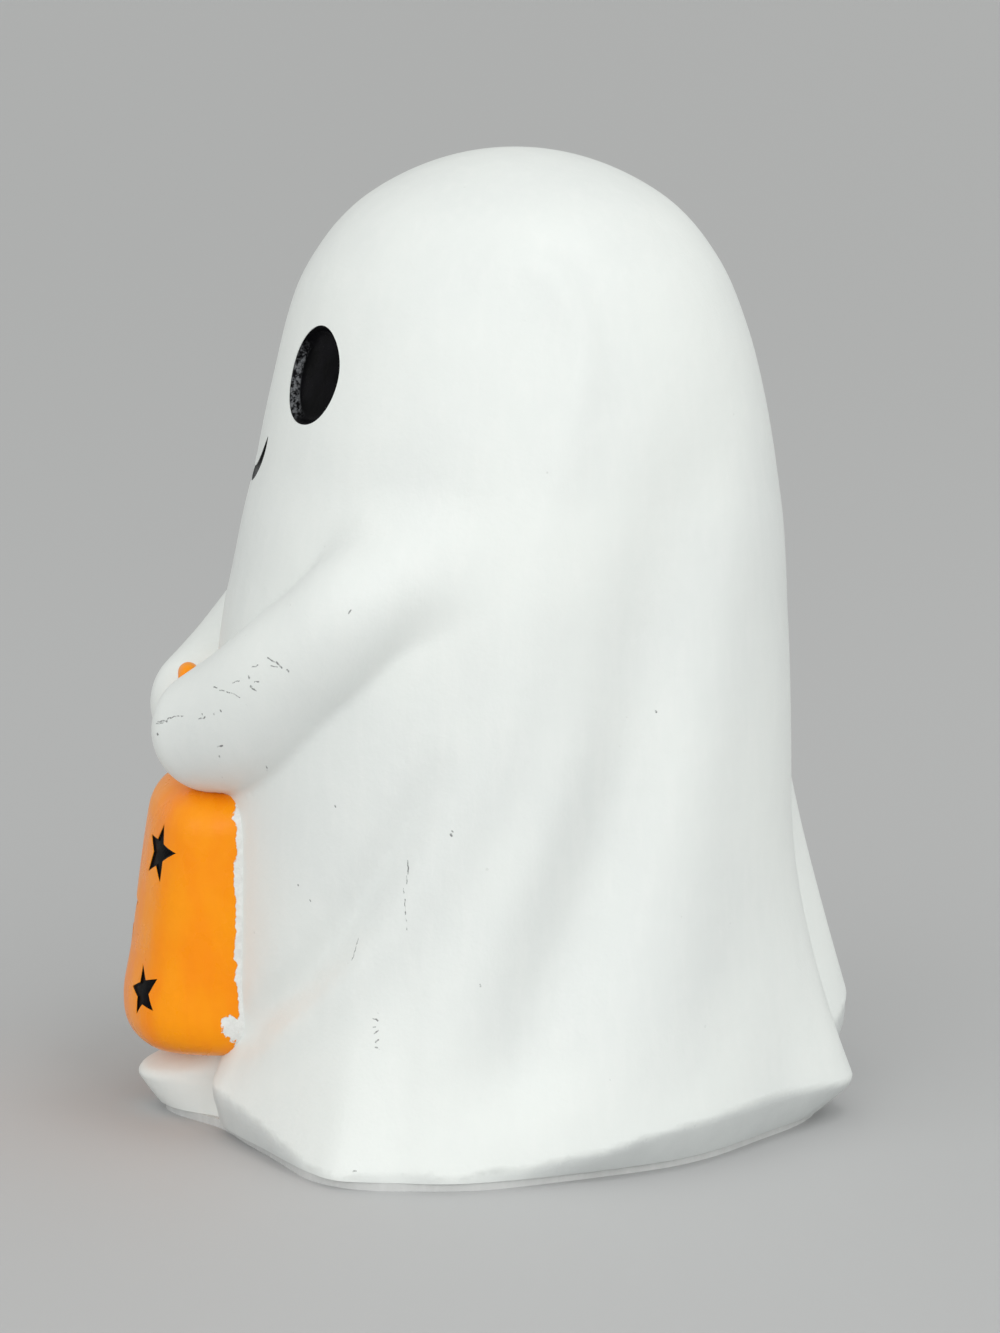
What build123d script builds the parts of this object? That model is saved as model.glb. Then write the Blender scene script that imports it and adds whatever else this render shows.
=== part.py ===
from build123d import *
import math
import os

os.makedirs("parts", exist_ok=True)

# ---------------------------------------------------------------- dimensions (mm)
HEIGHT = 230.0            # table to crown
PLATE_T = 2.0             # visible edge of the base plate
REGISTER_H = 3.0          # lip of the base plate inside the shell
REGISTER_GAP = 0.25       # clearance of that lip
WALL = 6.0                # cast wall of the body
VENT_R = 4.0              # vent hole in the base plate
VENT_Y = 26.0

EYE_X, EYE_Z = 28.0, 179.3          # centre of an eye on the face
EYE_W, EYE_H = 20.0, 23.2           # width across, height
EYE_TURN = 31.0                     # degrees the eye is turned outwards from straight ahead
POCKET_D = 3.4                      # depth of eye and mouth pockets
EYE_SUNK = 2.0                      # inlay face below the skin
MOUTH_SUNK = 0.5
MOUTH_HALF = 12.0                   # half width of the smile
MOUTH_TOP, MOUTH_LOW = 163.0, 152.8 # height of the corners and of the lowest point
MOUTH_T = 3.6                       # stroke in the middle

ARM_PATH = [                        # left arm, shoulder to hand: x, y, z, radius
    (45.0, -10.3, 141.0, 10.0),
    (48.6, -21.8, 137.2, 12.5),
    (49.5, -33.4, 129.9, 14.5),
    (46.0, -41.6, 120.9, 15.4),
    (39.0, -49.6, 111.8, 16.4),
    (29.0, -57.5, 101.9, 17.5),
    (18.5, -68.7, 95.6, 14.2),
]
HAND_R = 14.7
TENON_R, TENON_L, TENON_GAP = 6.0, 16.0, 0.1
TENON_AT = (49.5, -33.4, 129.9)      # point of the arm that the tenon runs through

BAG_HALF = 30.5                     # half width of the bag
BAG_BACK = -56.0                    # plane inside the body that the bag is cut back from
BAG_LEVELS = [(17.0, -88.6), (28.0, -90.8), (55.0, -87.0), (81.0, -82.6)]  # height, front of the crown
BAG_CORNER_Y = 8.5                  # corners stand this far behind the crown
BAG_ROUND = 6.0                     # upright corner rounding
BAG_FILLET = 4.5
PEG_R, PEG_L = 5.0, 5.0
STAR_D, STAR_SUNK = 1.4, 0.35       # depth of a star pocket, inlay face below the bag's skin
STARS = [(-19.5, 64.0, 7.0, 10), (18.5, 66.5, 7.4, -8), (-2.0, 49.0, 8.6, 4),
         (-17.0, 32.5, 7.2, -14), (20.0, 33.5, 6.6, 20)]   # x, z, point radius, turn

LOOP_R, LOOP_TUBE = 5.6, 2.5        # handle loop: bend of its centre line, tube radius
LOOP_Y, LOOP_TOP = -74.3, 108.6
LOOP_FOOT = 72.0

# ---------------------------------------------------------------- shape of the draped body
def along(table):
    """Monotone cubic through (position, value) pairs."""
    xs = [p[0] for p in table]
    ys = [p[1] for p in table]
    n = len(xs)
    h = [xs[i + 1] - xs[i] for i in range(n - 1)]
    d = [(ys[i + 1] - ys[i]) / h[i] for i in range(n - 1)]
    m = [0.0] * n
    for i in range(1, n - 1):
        if d[i - 1] * d[i] > 0:
            w1, w2 = 2 * h[i] + h[i - 1], h[i] + 2 * h[i - 1]
            m[i] = (w1 + w2) / (w1 / d[i - 1] + w2 / d[i])
    m[0], m[-1] = d[0], d[-1]

    def value(x):
        if x <= xs[0]:
            return ys[0]
        if x >= xs[-1]:
            return ys[-1]
        k = 0
        while x > xs[k + 1]:
            k += 1
        t = (x - xs[k]) / h[k]
        return ((1 + 2 * t) * (1 - t) ** 2 * ys[k] + t * (1 - t) ** 2 * h[k] * m[k]
                + t * t * (3 - 2 * t) * ys[k + 1] + t * t * (t - 1) * h[k] * m[k + 1])
    return value


def around(table):
    """Closed smooth curve through (degrees, value) pairs."""
    xs = [p[0] for p in table]
    ys = [p[1] for p in table]
    n = len(xs)

    def slope(i):
        xa = xs[(i - 1) % n] - (360 if i - 1 < 0 else 0)
        xb = xs[(i + 1) % n] + (360 if i + 1 >= n else 0)
        return (ys[(i + 1) % n] - ys[(i - 1) % n]) / (xb - xa)

    def value(a):
        a = (a - xs[0]) % 360 + xs[0]
        k = max(i for i in range(n) if xs[i] <= a)
        x1 = xs[k + 1] if k + 1 < n else xs[0] + 360
        w = x1 - xs[k]
        t = (a - xs[k]) / w
        return ((2 * t ** 3 - 3 * t * t + 1) * ys[k] + (t ** 3 - 2 * t * t + t) * slope(k) * w
                + (-2 * t ** 3 + 3 * t * t) * ys[(k + 1) % n] + (t ** 3 - t * t) * slope((k + 1) % n) * w)
    return value


# half width and half depth of the plain body are root(depth below the crown) times these
WIDE = along([(0, 10.72), (5.6, 10.52), (11.3, 10.30), (17, 9.92), (23, 9.50), (28.5, 9.17), (40, 8.46), (51.5, 7.90),
              (63, 7.46), (75, 7.07), (86, 6.81), (98, 6.545), (110, 6.29), (140, 5.745), (170, 5.29), (230, 4.576)])
DEEP = along([(0, 10.80), (5.6, 10.60), (11.3, 10.40), (17, 10.02), (23, 9.59), (28.5, 9.25), (40, 8.53), (51.5, 7.95),
              (63, 7.51), (75, 7.14), (86, 6.90), (98, 6.635), (110, 6.41), (140, 5.85), (170, 5.34), (230, 4.589)])
CENTRE_Y = along([(0, 0), (60, 0.2), (90, 0.4), (120, 1.2), (132, 2.2), (144, 3.0), (160, 3.8), (178, 4.0),
                  (200, 3.5), (230, 3.5)])
# the hem by angle from the ghost's left (0) to its back (90): radius of its edge, height of that edge,
# how far the foot stands in below it
HEM = [(-90, 88, 10.3, 7.2), (-85, 86.0, 10.4, 6.9), (-81, 79.6, 10.8, 3.2), (-78, 74.2, 11.2, 0.9), (-75, 72.2, 11.5, 0.2),
       (-70, 71.6, 11.4, 0.4), (-63, 72.6, 10.2, 1.2), (-52, 76.0, 7.8, 2.4), (-43, 79.9, 5.0, 1.9), (-36.5, 83.4, 3.0, 1.0),
       (-31, 86.0, 2.6, 0.6), (-26.6, 84.8, 3.4, 0.8), (-21, 82.6, 2.8, 0.6), (-16.5, 82.0, 3.8, 1.0), (-12, 80.8, 2.9, 0.7),
       (-7, 79.0, 3.4, 1.0), (-1.6, 77.2, 4.0, 1.6),
       (2, 76.7, 4.8, 2.6), (7, 76.3, 6, 3.9), (12.4, 76.4, 7, 5.2), (16.6, 76.7, 8.4, 5.9), (21, 76.9, 9.8, 6.3),
       (31, 77.2, 11.3, 6.2), (46, 76.6, 12.0, 6.0), (56, 78.0, 11.6, 6.6), (66, 82.8, 10.4, 8.4), (72, 85.6, 9.4, 9.8),
       (77, 85.4, 9.0, 9.4), (83, 82.0, 9.4, 6), (89, 79.2, 12, 4.5), (94, 85.0, 17, 5), (100, 88.8, 20, 6), (107, 87.8, 19, 6),
       (114, 84.4, 15, 5), (123, 80.4, 10, 4), (135, 77.5, 6.4, 2.2), (150, 77.6, 4.4, 1.6), (165, 78.6, 3.8, 1.2),
       (180, 78.8, 3.6, 1.2), (195, 80.8, 3.8, 1.2), (208, 84.6, 4.4, 1.0), (216, 83.8, 4.4, 1.4), (228, 78.4, 6.6, 2.2),
       (240, 74.2, 9.4, 1.6), (250, 71.8, 11.4, 0.4), (257, 72.8, 11.3, 0.6), (261, 79.0, 10.8, 3.4), (265, 85.6, 10.4, 6.8)]
HEM_R = around([(h[0], h[1]) for h in HEM])
HEM_Z = around([(h[0], h[2]) for h in HEM])
FOOT_IN = around([(h[0], h[3]) for h in HEM])
# height where the flare begins, and how it opens
FLARE_Z = around([(-90, 24), (-80, 22), (-72, 24), (-60, 27), (-45, 38), (-31, 58), (-12, 84), (10, 92), (30, 88),
                  (50, 82), (74, 78), (88, 84), (100, 98), (112, 98), (130, 90), (160, 92), (190, 84), (211, 58), (225, 38),
                  (240, 27), (252, 22), (262, 22)])
FLARE_P = around([(-90, 1.6), (-72, 1.3), (-45, 1.35), (-12, 1.8), (30, 2.0), (70, 1.8), (88, 1.8), (100, 1.25),
                  (112, 1.4), (150, 2.0), (190, 1.8), (225, 1.35), (252, 1.3)])
# folds drawn on the skin as strokes: degrees, height, how far they stand out, width
FOLDS = [
    # long ridge beside the face, hooked at its top and running down to the front corner
    [(-14.3, 200.7, 0.0, 4.4), (-12.6, 205.0, 0.25, 4.4), (-6.0, 207.4, 0.5, 4.4), (2.1, 205.5, 0.65, 4.6), (7.8, 199.8, 0.75, 4.8),
     (10.6, 193.2, 0.8, 5), (10.6, 186.0, 0.8, 5.2), (8.9, 178.0, 0.85, 5.6), (6.1, 169.3, 1.0, 6.4), (2.7, 160.5, 1.15, 7.2),
     (-0.3, 151.8, 1.4, 8), (-2.1, 141.2, 1.7, 9), (-2.9, 128.0, 1.9, 9), (-3.5, 114.6, 1.8, 8.5), (-5.5, 102.3, 1.8, 8),
     (-8.7, 91.0, 1.9, 8), (-13.2, 80.7, 2.0, 8), (-19.3, 68.0, 2.1, 7.5), (-26.7, 53.8, 2.0, 7), (-35.6, 42.3, 1.8, 6.5),
     (-46.3, 31.6, 1.3, 6), (-56.9, 22.5, 0.6, 6)],
    # rounded shoulder in front of the deep valley
    [(8.9, 105.3, 0.0, 8), (6.1, 94.2, 0.8, 8), (1.7, 79.6, 1.5, 8), (-3.7, 63.9, 1.8, 8.5), (-9.1, 48.2, 1.7, 9),
     (-13.3, 32.7, 1.2, 10), (-16.0, 18.4, 0.6, 11)],
    # dish inside the hook
    [(-5.2, 198.2, -0.1, 8), (-2.3, 189.5, -0.3, 9), (-3.4, 178.6, -0.3, 9), (-7.1, 167.6, -0.15, 10), (-10.7, 158.8, 0.0, 10)],
    # crease that runs down to the front corner
    [(-15.3, 98.3, 0.0, 5), (-20.5, 87.2, -1.4, 5), (-26.6, 74.2, -2.3, 5), (-32.7, 62.8, -2.7, 5), (-39.1, 52.0, -2.8, 5),
     (-46.7, 41.7, -2.8, 5), (-57.3, 31.0, -2.2, 5), (-63.4, 24.2, -1.0, 5)],
    # deep valley
    [(47.3, 171.9, 0.0, 12), (36.3, 158.2, -1.7, 13.5), (28.5, 142.1, -3.1, 14), (24.8, 124.5, -3.9, 13.5), (22.5, 108.9, -4.2, 12.5),
     (20.1, 93.3, -4.5, 11), (16.2, 77.7, -4.9, 10.2), (10.7, 59.9, -4.9, 10), (4.5, 42.3, -4.4, 10.2), (-0.9, 26.8, -3.1, 10.8),
     (-5.0, 11.4, -2.0, 11)],
    # low ridge behind it and the shallow hollow before the back corner
    [(51.8, 151.0, 0.2, 9), (45.6, 138.1, 0.4, 9), (42.3, 120.3, 0.5, 9), (39.6, 102.3, 0.6, 9), (37.2, 84.3, 0.7, 9.5),
     (33.8, 66.4, 0.8, 10), (29.2, 48.8, 0.8, 10), (24.1, 33.6, 0.8, 11), (19.4, 18.4, 0.7, 12)],
    [(52.7, 65.0, 0.0, 9), (47.5, 52.1, -0.3, 10), (40.9, 39.6, -0.5, 11), (34.0, 27.3, -0.5, 12), (28.9, 14.7, -0.4, 12)],
    # crease between the two back folds
    [(90, 112, 0.0, 7), (89, 84, -0.8, 7), (88, 52, -2.0, 7), (87, 28, -2.6, 7), (87, 10, -2.0, 8)],
    # the far side: hooked ridge, dish, broad hollow, valley, ridge, hollow, crease
    [(190, 196, 0.0, 4.4), (184, 203, 0.4, 4.4), (175, 203, 0.6, 4.6), (168, 194, 0.75, 5), (166, 182, 0.8, 5.4), (169, 168, 1.0, 6.4),
     (174, 150, 1.4, 8), (179, 128, 1.7, 9), (182, 104, 1.8, 8.5), (187, 82, 2.0, 8), (196, 60, 2.1, 7.5), (206, 38, 1.7, 7),
     (213, 18, 0.9, 6)],
    [(178, 192, -0.2, 9), (179, 178, -0.3, 9), (184, 158, 0.0, 10)],
    [(146, 160, 0.0, 12), (152, 140, -2.4, 13), (158, 116, -3.0, 13), (161, 96, -2.0, 12)],
    [(150, 112, 0.0, 10), (156, 92, -1.9, 10), (163, 74, -3.2, 10), (170, 54, -3.6, 10), (177, 32, -3.0, 10), (183, 8, -1.8, 11)],
    [(132, 176, 0.0, 10), (138, 142, 0.8, 10), (143, 108, 1.2, 10), (148, 76, 1.4, 10), (153, 44, 1.4, 11), (157, 14, 1.0, 12)],
    [(124, 92, 0.0, 9), (130, 70, -0.9, 10), (137, 44, -1.3, 11), (144, 12, -1.0, 12)],
    [(190, 80, 0.0, 5), (199, 60, -1.8, 5), (212, 44, -2.6, 5), (226, 32, -2.6, 5), (240, 25, -1.8, 5), (247, 20, -0.8, 5)],
]
SQUARE = 2.08             # how square a level is (2 is an ellipse)


def half_width(z):
    h = min(max(HEIGHT - z, 0.14), HEIGHT)
    return math.sqrt(h) * WIDE(h)


def plain_r(deg, z):
    h = min(max(HEIGHT - z, 0.14), HEIGHT)
    c, s = abs(math.cos(math.radians(deg))), abs(math.sin(math.radians(deg)))
    return half_width(z) * (c ** SQUARE + (s * WIDE(h) / DEEP(h)) ** SQUARE) ** (-1 / SQUARE)


def fold_points(strokes, per=6):
    """Short pieces of every stroke: degrees, height, strength, width, mm per degree."""
    out = []
    for pts in strokes:
        p = [tuple(2 * u - v for u, v in zip(pts[0], pts[1]))] + pts + [tuple(2 * u - v for u, v in zip(pts[-1], pts[-2]))]
        q = []
        for i in range(1, len(p) - 2):
            for k in range(per):
                t = k / per
                q.append([0.5 * (2 * b + (c - a) * t + (2 * a - 5 * b + 4 * c - d) * t * t + (3 * b - a - 3 * c + d) * t ** 3)
                          for a, b, c, d in zip(p[i - 1], p[i], p[i + 1], p[i + 2])])
        q.append(list(pts[-1]))
        for a, b in zip(q[:-1], q[1:]):
            deg, z, h, w = [(u + v) / 2 for u, v in zip(a, b)]
            mm = half_width(min(z, 224.0)) * math.pi / 180
            run = math.hypot((b[0] - a[0]) * mm, b[1] - a[1])
            out.append((deg, z, h * run / (w * math.sqrt(math.pi)), w, mm))
    return out


FOLD_POINTS = fold_points(FOLDS)


def fold(deg, z):
    """What the folds add to the radius."""
    r = 0.0
    for d, h, strength, w, mm in FOLD_POINTS:
        v = (z - h) / w
        if abs(v) < 3:
            u = ((deg - d + 180) % 360 - 180) * mm / w
            if abs(u) < 3:
                r += strength * math.exp(-u * u - v * v)
    t = min(max(z / 30.0, 0.0), 1.0)
    return r * min(1.0, max(0.0, (226 - z) / 20.0)) * t * t * (3 - 2 * t)


def flare(deg, z):
    top = FLARE_Z(deg)
    if z >= top:
        return 0.0
    t = min((top - z) / (top - HEM_Z(deg)), 1.15)
    return (HEM_R(deg) - plain_r(deg, 0.0)) * t ** FLARE_P(deg)


def skin_r(deg, z):
    """Radius of the outside at one angle and height."""
    edge = HEM_Z(deg)
    zz = max(z, edge)
    r = plain_r(deg, zz) + flare(deg, zz) + fold(deg, zz)
    if z < edge:
        r -= FOOT_IN(deg) * (1 - z / edge) ** 1.15
    return r


def hollow_r(deg, z):
    """Radius of the hollow: follows the flare, not the small folds."""
    return plain_r(deg, z) - WALL - 1.0 + 0.55 * flare(deg, max(z, 14.0))


def ring(radius, z, step=8, centre=None):
    cy = CENTRE_Y(z) if centre is None else centre
    return [(radius(a, z) * math.cos(math.radians(a)), cy + radius(a, z) * math.sin(math.radians(a)))
            for a in range(-180, 180, step)]


def lofted(radius, levels, step):
    """Closed body through a ring at each height."""
    with BuildPart() as body:
        for z in levels:
            with BuildSketch(Plane.XY.offset(z)):
                with BuildLine():
                    Spline(*ring(radius, z, step), periodic=True)
                make_face()
        loft()
    return body.part


SKIN_LEVELS = [PLATE_T, 6, 11, 17, 27, 42, 61, 84, 108, 132, 156, 177, 194, 207, 217, 224.5, 228.4, 230]
FACE_LEVELS = [142, 156, 170, 184, 197]
HOLLOW_LEVELS = [14, 28, 48, 74, 104, 136, 164, 188, 206, 217, 222]
SEAT_Z = PLATE_T + REGISTER_H + 1.0       # straight part of the hollow that the plate's lip enters

# outside of the body as one solid, used to make its neighbours fit it
skin = lofted(skin_r, SKIN_LEVELS, 9)
# head part of the skin, moved in by a given depth
pocket_floor = lofted(lambda a, h: skin_r(a, h) - POCKET_D, FACE_LEVELS, 12)
eye_face = lofted(lambda a, h: skin_r(a, h) - EYE_SUNK, FACE_LEVELS, 12)
mouth_face = lofted(lambda a, h: skin_r(a, h) - MOUTH_SUNK, FACE_LEVELS, 12)
hollow = lofted(hollow_r, HOLLOW_LEVELS, 15)


# ---------------------------------------------------------------- face inlays
def eye_plane(side):
    a = math.radians(EYE_TURN)
    out = Vector(side * math.sin(a), -math.cos(a), 0.16)
    return Plane(origin=(side * EYE_X, -45.0, EYE_Z), x_dir=(math.cos(a) * side, math.sin(a), 0), z_dir=out)


def eye_stick(side, grow=0.0):
    with BuildPart() as stick:
        with BuildSketch(eye_plane(side)):
            Ellipse(EYE_W / 2 + grow, EYE_H / 2 + grow)
        extrude(amount=12, both=True)
    return stick.part


def smile_stick():
    """Tapered smile stroke, pushed straight back."""
    mid = (MOUTH_TOP + MOUTH_LOW) / 2
    with BuildPart() as stick:
        with BuildSketch(Plane.XZ.offset(48)):
            with BuildLine():
                ThreePointArc((-MOUTH_HALF, MOUTH_TOP + 0.35), (0, MOUTH_LOW + MOUTH_T / 2), (MOUTH_HALF, MOUTH_TOP + 0.35))
                Line((MOUTH_HALF, MOUTH_TOP + 0.35), (MOUTH_HALF + 0.35, MOUTH_TOP - 0.35))
                ThreePointArc((MOUTH_HALF + 0.35, MOUTH_TOP - 0.35), (0, MOUTH_LOW - MOUTH_T / 2), (-MOUTH_HALF - 0.35, MOUTH_TOP - 0.35))
                Line((-MOUTH_HALF - 0.35, MOUTH_TOP - 0.35), (-MOUTH_HALF, MOUTH_TOP + 0.35))
            make_face()
        extrude(amount=30)
    return stick.part


eye_sticks = {1: eye_stick(1), -1: eye_stick(-1)}
smile = smile_stick()


def carve(stick, floor):
    """The part of a stick that lies outside a floor surface."""
    with BuildPart() as pocket:
        add(stick)
        add(floor, mode=Mode.SUBTRACT)
    return pocket.part


def eye_inlay(side):
    with BuildPart() as inlay:
        add(eye_face)
        add(eye_sticks[side], mode=Mode.INTERSECT)
        add(pocket_floor, mode=Mode.SUBTRACT)
    return inlay


left_eye = eye_inlay(1)
left_eye.part.label = "left_eye"
right_eye = eye_inlay(-1)
right_eye.part.label = "right_eye"
with BuildPart() as mouth:
    add(mouth_face)
    add(smile, mode=Mode.INTERSECT)
    add(pocket_floor, mode=Mode.SUBTRACT)
mouth.part.label = "mouth"


# ---------------------------------------------------------------- arms
def arm_solid(side):
    pts = [Vector(x, y, z) for x, y, z, r in ARM_PATH]
    with BuildPart() as limb:
        for i, (x, y, z, r) in enumerate(ARM_PATH):
            a, b = pts[max(i - 1, 0)], pts[min(i + 1, len(pts) - 1)]
            with BuildSketch(Plane(origin=pts[i], x_dir=(0, 0, 1), z_dir=b - a)):
                Circle(r)
        loft()
        with Locations(pts[-1]):
            Sphere(HAND_R)
    return limb.part if side > 0 else mirror(limb.part, about=Plane.YZ)


def tenon(side, radius, start, length):
    """Round stub from the arm through the wall of the body, square to the skin."""
    at = Vector(side * TENON_AT[0], TENON_AT[1], TENON_AT[2])
    inward = Vector(-side * 0.82, 0.57, 0.0).normalized()
    with BuildPart() as stub:
        with BuildSketch(Plane(origin=at + inward * start, x_dir=(0, 0, 1), z_dir=inward)):
            Circle(radius)
        extrude(amount=length)
    return stub.part


def loop_solid(radius):
    rise = LOOP_TOP - LOOP_TUBE - LOOP_R
    with BuildPart() as loop:
        with BuildLine(Plane.XZ.offset(-LOOP_Y)) as path:
            Line((-LOOP_R, LOOP_FOOT), (-LOOP_R, rise))
            ThreePointArc((-LOOP_R, rise), (0, rise + LOOP_R), (LOOP_R, rise))
            Line((LOOP_R, rise), (LOOP_R, LOOP_FOOT))
        with BuildSketch(Plane(origin=(-LOOP_R, LOOP_Y, LOOP_FOOT), z_dir=(0, 0, 1))):
            Circle(radius)
        sweep()
    return loop


bag_handle = loop_solid(LOOP_TUBE)
bag_handle.part.label = "bag_handle"
grip = loop_solid(LOOP_TUBE + 0.1).part


def arm(side):
    outside, stub = arm_solid(side), tenon(side, TENON_R, -6.0, TENON_L)
    with BuildPart() as limb:
        add(outside)
        add(skin, mode=Mode.SUBTRACT)
        add(stub)
        add(grip, mode=Mode.SUBTRACT)
    return limb


left_arm = arm(1)
left_arm.part.label = "left_arm"
right_arm = arm(-1)
right_arm.part.label = "right_arm"


# ---------------------------------------------------------------- bag
def bag_solid(inset=0.0):
    half = BAG_HALF - inset
    with BuildPart() as bag:
        for z, crown in BAG_LEVELS:
            front = crown + inset
            side_y = front + BAG_CORNER_Y
            with BuildSketch(Plane.XY.offset(z)) as sk:
                with BuildLine():
                    Line((-half, BAG_BACK), (-half, side_y))
                    ThreePointArc((-half, side_y), (0, front), (half, side_y))
                    Line((half, side_y), (half, BAG_BACK))
                    Line((half, BAG_BACK), (-half, BAG_BACK))
                make_face()
                fillet(sk.vertices().group_by(Axis.Y)[0], BAG_ROUND)
        loft()
        if inset == 0.0:
            fillet([e for e in bag.edges() if e.center().Y < -70 and (e.center().Z < 18 or e.center().Z > 80)],
                   BAG_FILLET)
    return bag.part


def star_stick(x, z, size, turn):
    pts = []
    for k in range(10):
        r = size if k % 2 == 0 else size * 0.46
        a = math.radians(90 + turn + 36 * k)
        pts.append((x + r * math.cos(a), z + r * math.sin(a)))
    with BuildPart() as stick:
        with BuildSketch(Plane.XZ.offset(66)):
            with BuildLine():
                Polyline(*pts, close=True)
            make_face()
        extrude(amount=40)
    return stick.part


star_sticks = [star_stick(*s) for s in STARS]
bag_floor = bag_solid(STAR_D)
bag_face = bag_solid(STAR_SUNK)
star_pockets = [carve(s, bag_floor) for s in star_sticks]

bag_blank = bag_solid()
with BuildPart() as treat_bag:
    add(bag_blank)
    add(skin, mode=Mode.SUBTRACT)
    with BuildSketch(Plane(origin=(0, -72, 50), x_dir=(1, 0, 0), z_dir=(0, 1, 0))):
        Circle(PEG_R)
    extrude(amount=72 - 69.6 + PEG_L)
    add(left_arm.part, mode=Mode.SUBTRACT)
    add(right_arm.part, mode=Mode.SUBTRACT)
    add(grip, mode=Mode.SUBTRACT)
    for pocket in star_pockets:
        add(pocket, mode=Mode.SUBTRACT)
treat_bag.part.label = "treat_bag"


def star_inlay(stick):
    with BuildPart() as star:
        add(bag_face)
        add(stick, mode=Mode.INTERSECT)
        add(bag_floor, mode=Mode.SUBTRACT)
    return star.part


stars = [star_inlay(s) for s in star_sticks]
with BuildPart() as bag_stars:
    for star in stars:
        add(star)
bag_stars.part.label = "bag_stars"

# ---------------------------------------------------------------- body shell
seat = ring(hollow_r, 14, 15)
eye_pockets = {side: carve(eye_sticks[side], pocket_floor) for side in (1, -1)}
smile_pocket = carve(smile, pocket_floor)
stubs = {side: tenon(side, TENON_R + TENON_GAP, -20.0, 32.0) for side in (1, -1)}
with BuildPart() as body_shell:
    add(skin)
    add(hollow, mode=Mode.SUBTRACT)
    with BuildSketch(Plane.XY.offset(PLATE_T - 1)):
        with BuildLine():
            Spline(*seat, periodic=True)
        make_face()
    extrude(amount=14 - PLATE_T + 1, mode=Mode.SUBTRACT)
    for side in (1, -1):
        add(stubs[side], mode=Mode.SUBTRACT)
        add(eye_pockets[side], mode=Mode.SUBTRACT)
    add(smile_pocket, mode=Mode.SUBTRACT)
    with BuildSketch(Plane(origin=(0, -80, 50), x_dir=(1, 0, 0), z_dir=(0, 1, 0))):
        Circle(PEG_R + TENON_GAP)
    extrude(amount=30, mode=Mode.SUBTRACT)
body_shell.part.label = "body_shell"

# ---------------------------------------------------------------- base plate
with BuildPart() as base_plate:
    with BuildSketch():
        with BuildLine():
            Spline(*ring(lambda a, z: skin_r(a, 0.6) - 0.5, 0, 9), periodic=True)
        make_face()
    extrude(amount=PLATE_T)
    with BuildSketch(Plane.XY.offset(PLATE_T)):
        with BuildLine():
            Spline(*ring(lambda a, z: hollow_r(a, 14) - REGISTER_GAP, 14, 15), periodic=True)
        make_face()
    extrude(amount=REGISTER_H)
    with Locations((0, VENT_Y, PLATE_T + REGISTER_H)):
        Hole(VENT_R)
base_plate.part.label = "base_plate"

for piece in (body_shell, left_arm, right_arm, treat_bag, bag_handle, left_eye, right_eye, mouth, bag_stars, base_plate):
    export_step(piece.part, f"parts/{piece.part.label}.step")
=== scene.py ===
import bpy
import bmesh
import math
import numpy as np
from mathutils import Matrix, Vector


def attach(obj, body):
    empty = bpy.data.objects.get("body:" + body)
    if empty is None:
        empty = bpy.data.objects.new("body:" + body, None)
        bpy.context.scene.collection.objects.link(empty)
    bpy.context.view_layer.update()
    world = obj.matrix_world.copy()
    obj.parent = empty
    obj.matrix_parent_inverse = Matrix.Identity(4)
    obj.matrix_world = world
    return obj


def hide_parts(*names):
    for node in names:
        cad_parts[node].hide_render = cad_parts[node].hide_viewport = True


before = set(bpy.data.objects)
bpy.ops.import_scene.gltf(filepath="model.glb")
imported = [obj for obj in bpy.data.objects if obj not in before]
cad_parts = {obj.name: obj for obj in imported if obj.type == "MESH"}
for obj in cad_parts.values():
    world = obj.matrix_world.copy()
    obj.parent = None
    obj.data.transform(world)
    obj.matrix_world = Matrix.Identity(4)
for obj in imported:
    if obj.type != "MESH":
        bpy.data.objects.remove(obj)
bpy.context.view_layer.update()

MM = 0.001
PLATE_T = 2.0
CROWN = 230.0


# ---------------------------------------------------------------- curves by height and by angle
def along(table):
    """Monotone cubic through (position, value) pairs."""
    xs = np.array([p[0] for p in table], float)
    ys = np.array([p[1] for p in table], float)
    h = np.diff(xs)
    d = np.diff(ys) / h
    m = np.zeros(len(xs))
    for i in range(1, len(xs) - 1):
        if d[i - 1] * d[i] > 0:
            w1, w2 = 2 * h[i] + h[i - 1], h[i] + 2 * h[i - 1]
            m[i] = (w1 + w2) / (w1 / d[i - 1] + w2 / d[i])
    m[0], m[-1] = d[0], d[-1]

    def value(x):
        x = np.clip(x, xs[0], xs[-1])
        k = np.clip(np.searchsorted(xs, x, side="right") - 1, 0, len(xs) - 2)
        t = (x - xs[k]) / h[k]
        return ((1 + 2 * t) * (1 - t) ** 2 * ys[k] + t * (1 - t) ** 2 * h[k] * m[k]
                + t * t * (3 - 2 * t) * ys[k + 1] + t * t * (t - 1) * h[k] * m[k + 1])
    return value


def around(table):
    """Closed smooth curve through (degrees, value) pairs."""
    xs = np.array([p[0] for p in table], float)
    ys = np.array([p[1] for p in table], float)
    n = len(xs)
    xe = np.concatenate([[xs[-1] - 360], xs, [xs[0] + 360, xs[1] + 360]])
    ye = np.concatenate([[ys[-1]], ys, [ys[0], ys[1]]])
    slope = (ye[2:] - ye[:-2]) / (xe[2:] - xe[:-2])

    def value(a):
        a = (a - xs[0]) % 360 + xs[0]
        k = np.clip(np.searchsorted(xs, a, side="right") - 1, 0, n - 1)
        x0, w = xe[k + 1], xe[k + 2] - xe[k + 1]
        t = (a - x0) / w
        return ((2 * t ** 3 - 3 * t * t + 1) * ye[k + 1] + (t ** 3 - 2 * t * t + t) * slope[k] * w
                + (-2 * t ** 3 + 3 * t * t) * ye[k + 2] + (t ** 3 - t * t) * slope[k + 1] * w)
    return value


def smooth(a, b, x):
    t = np.clip((x - a) / (b - a), 0, 1)
    return t * t * (3 - 2 * t)


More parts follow.
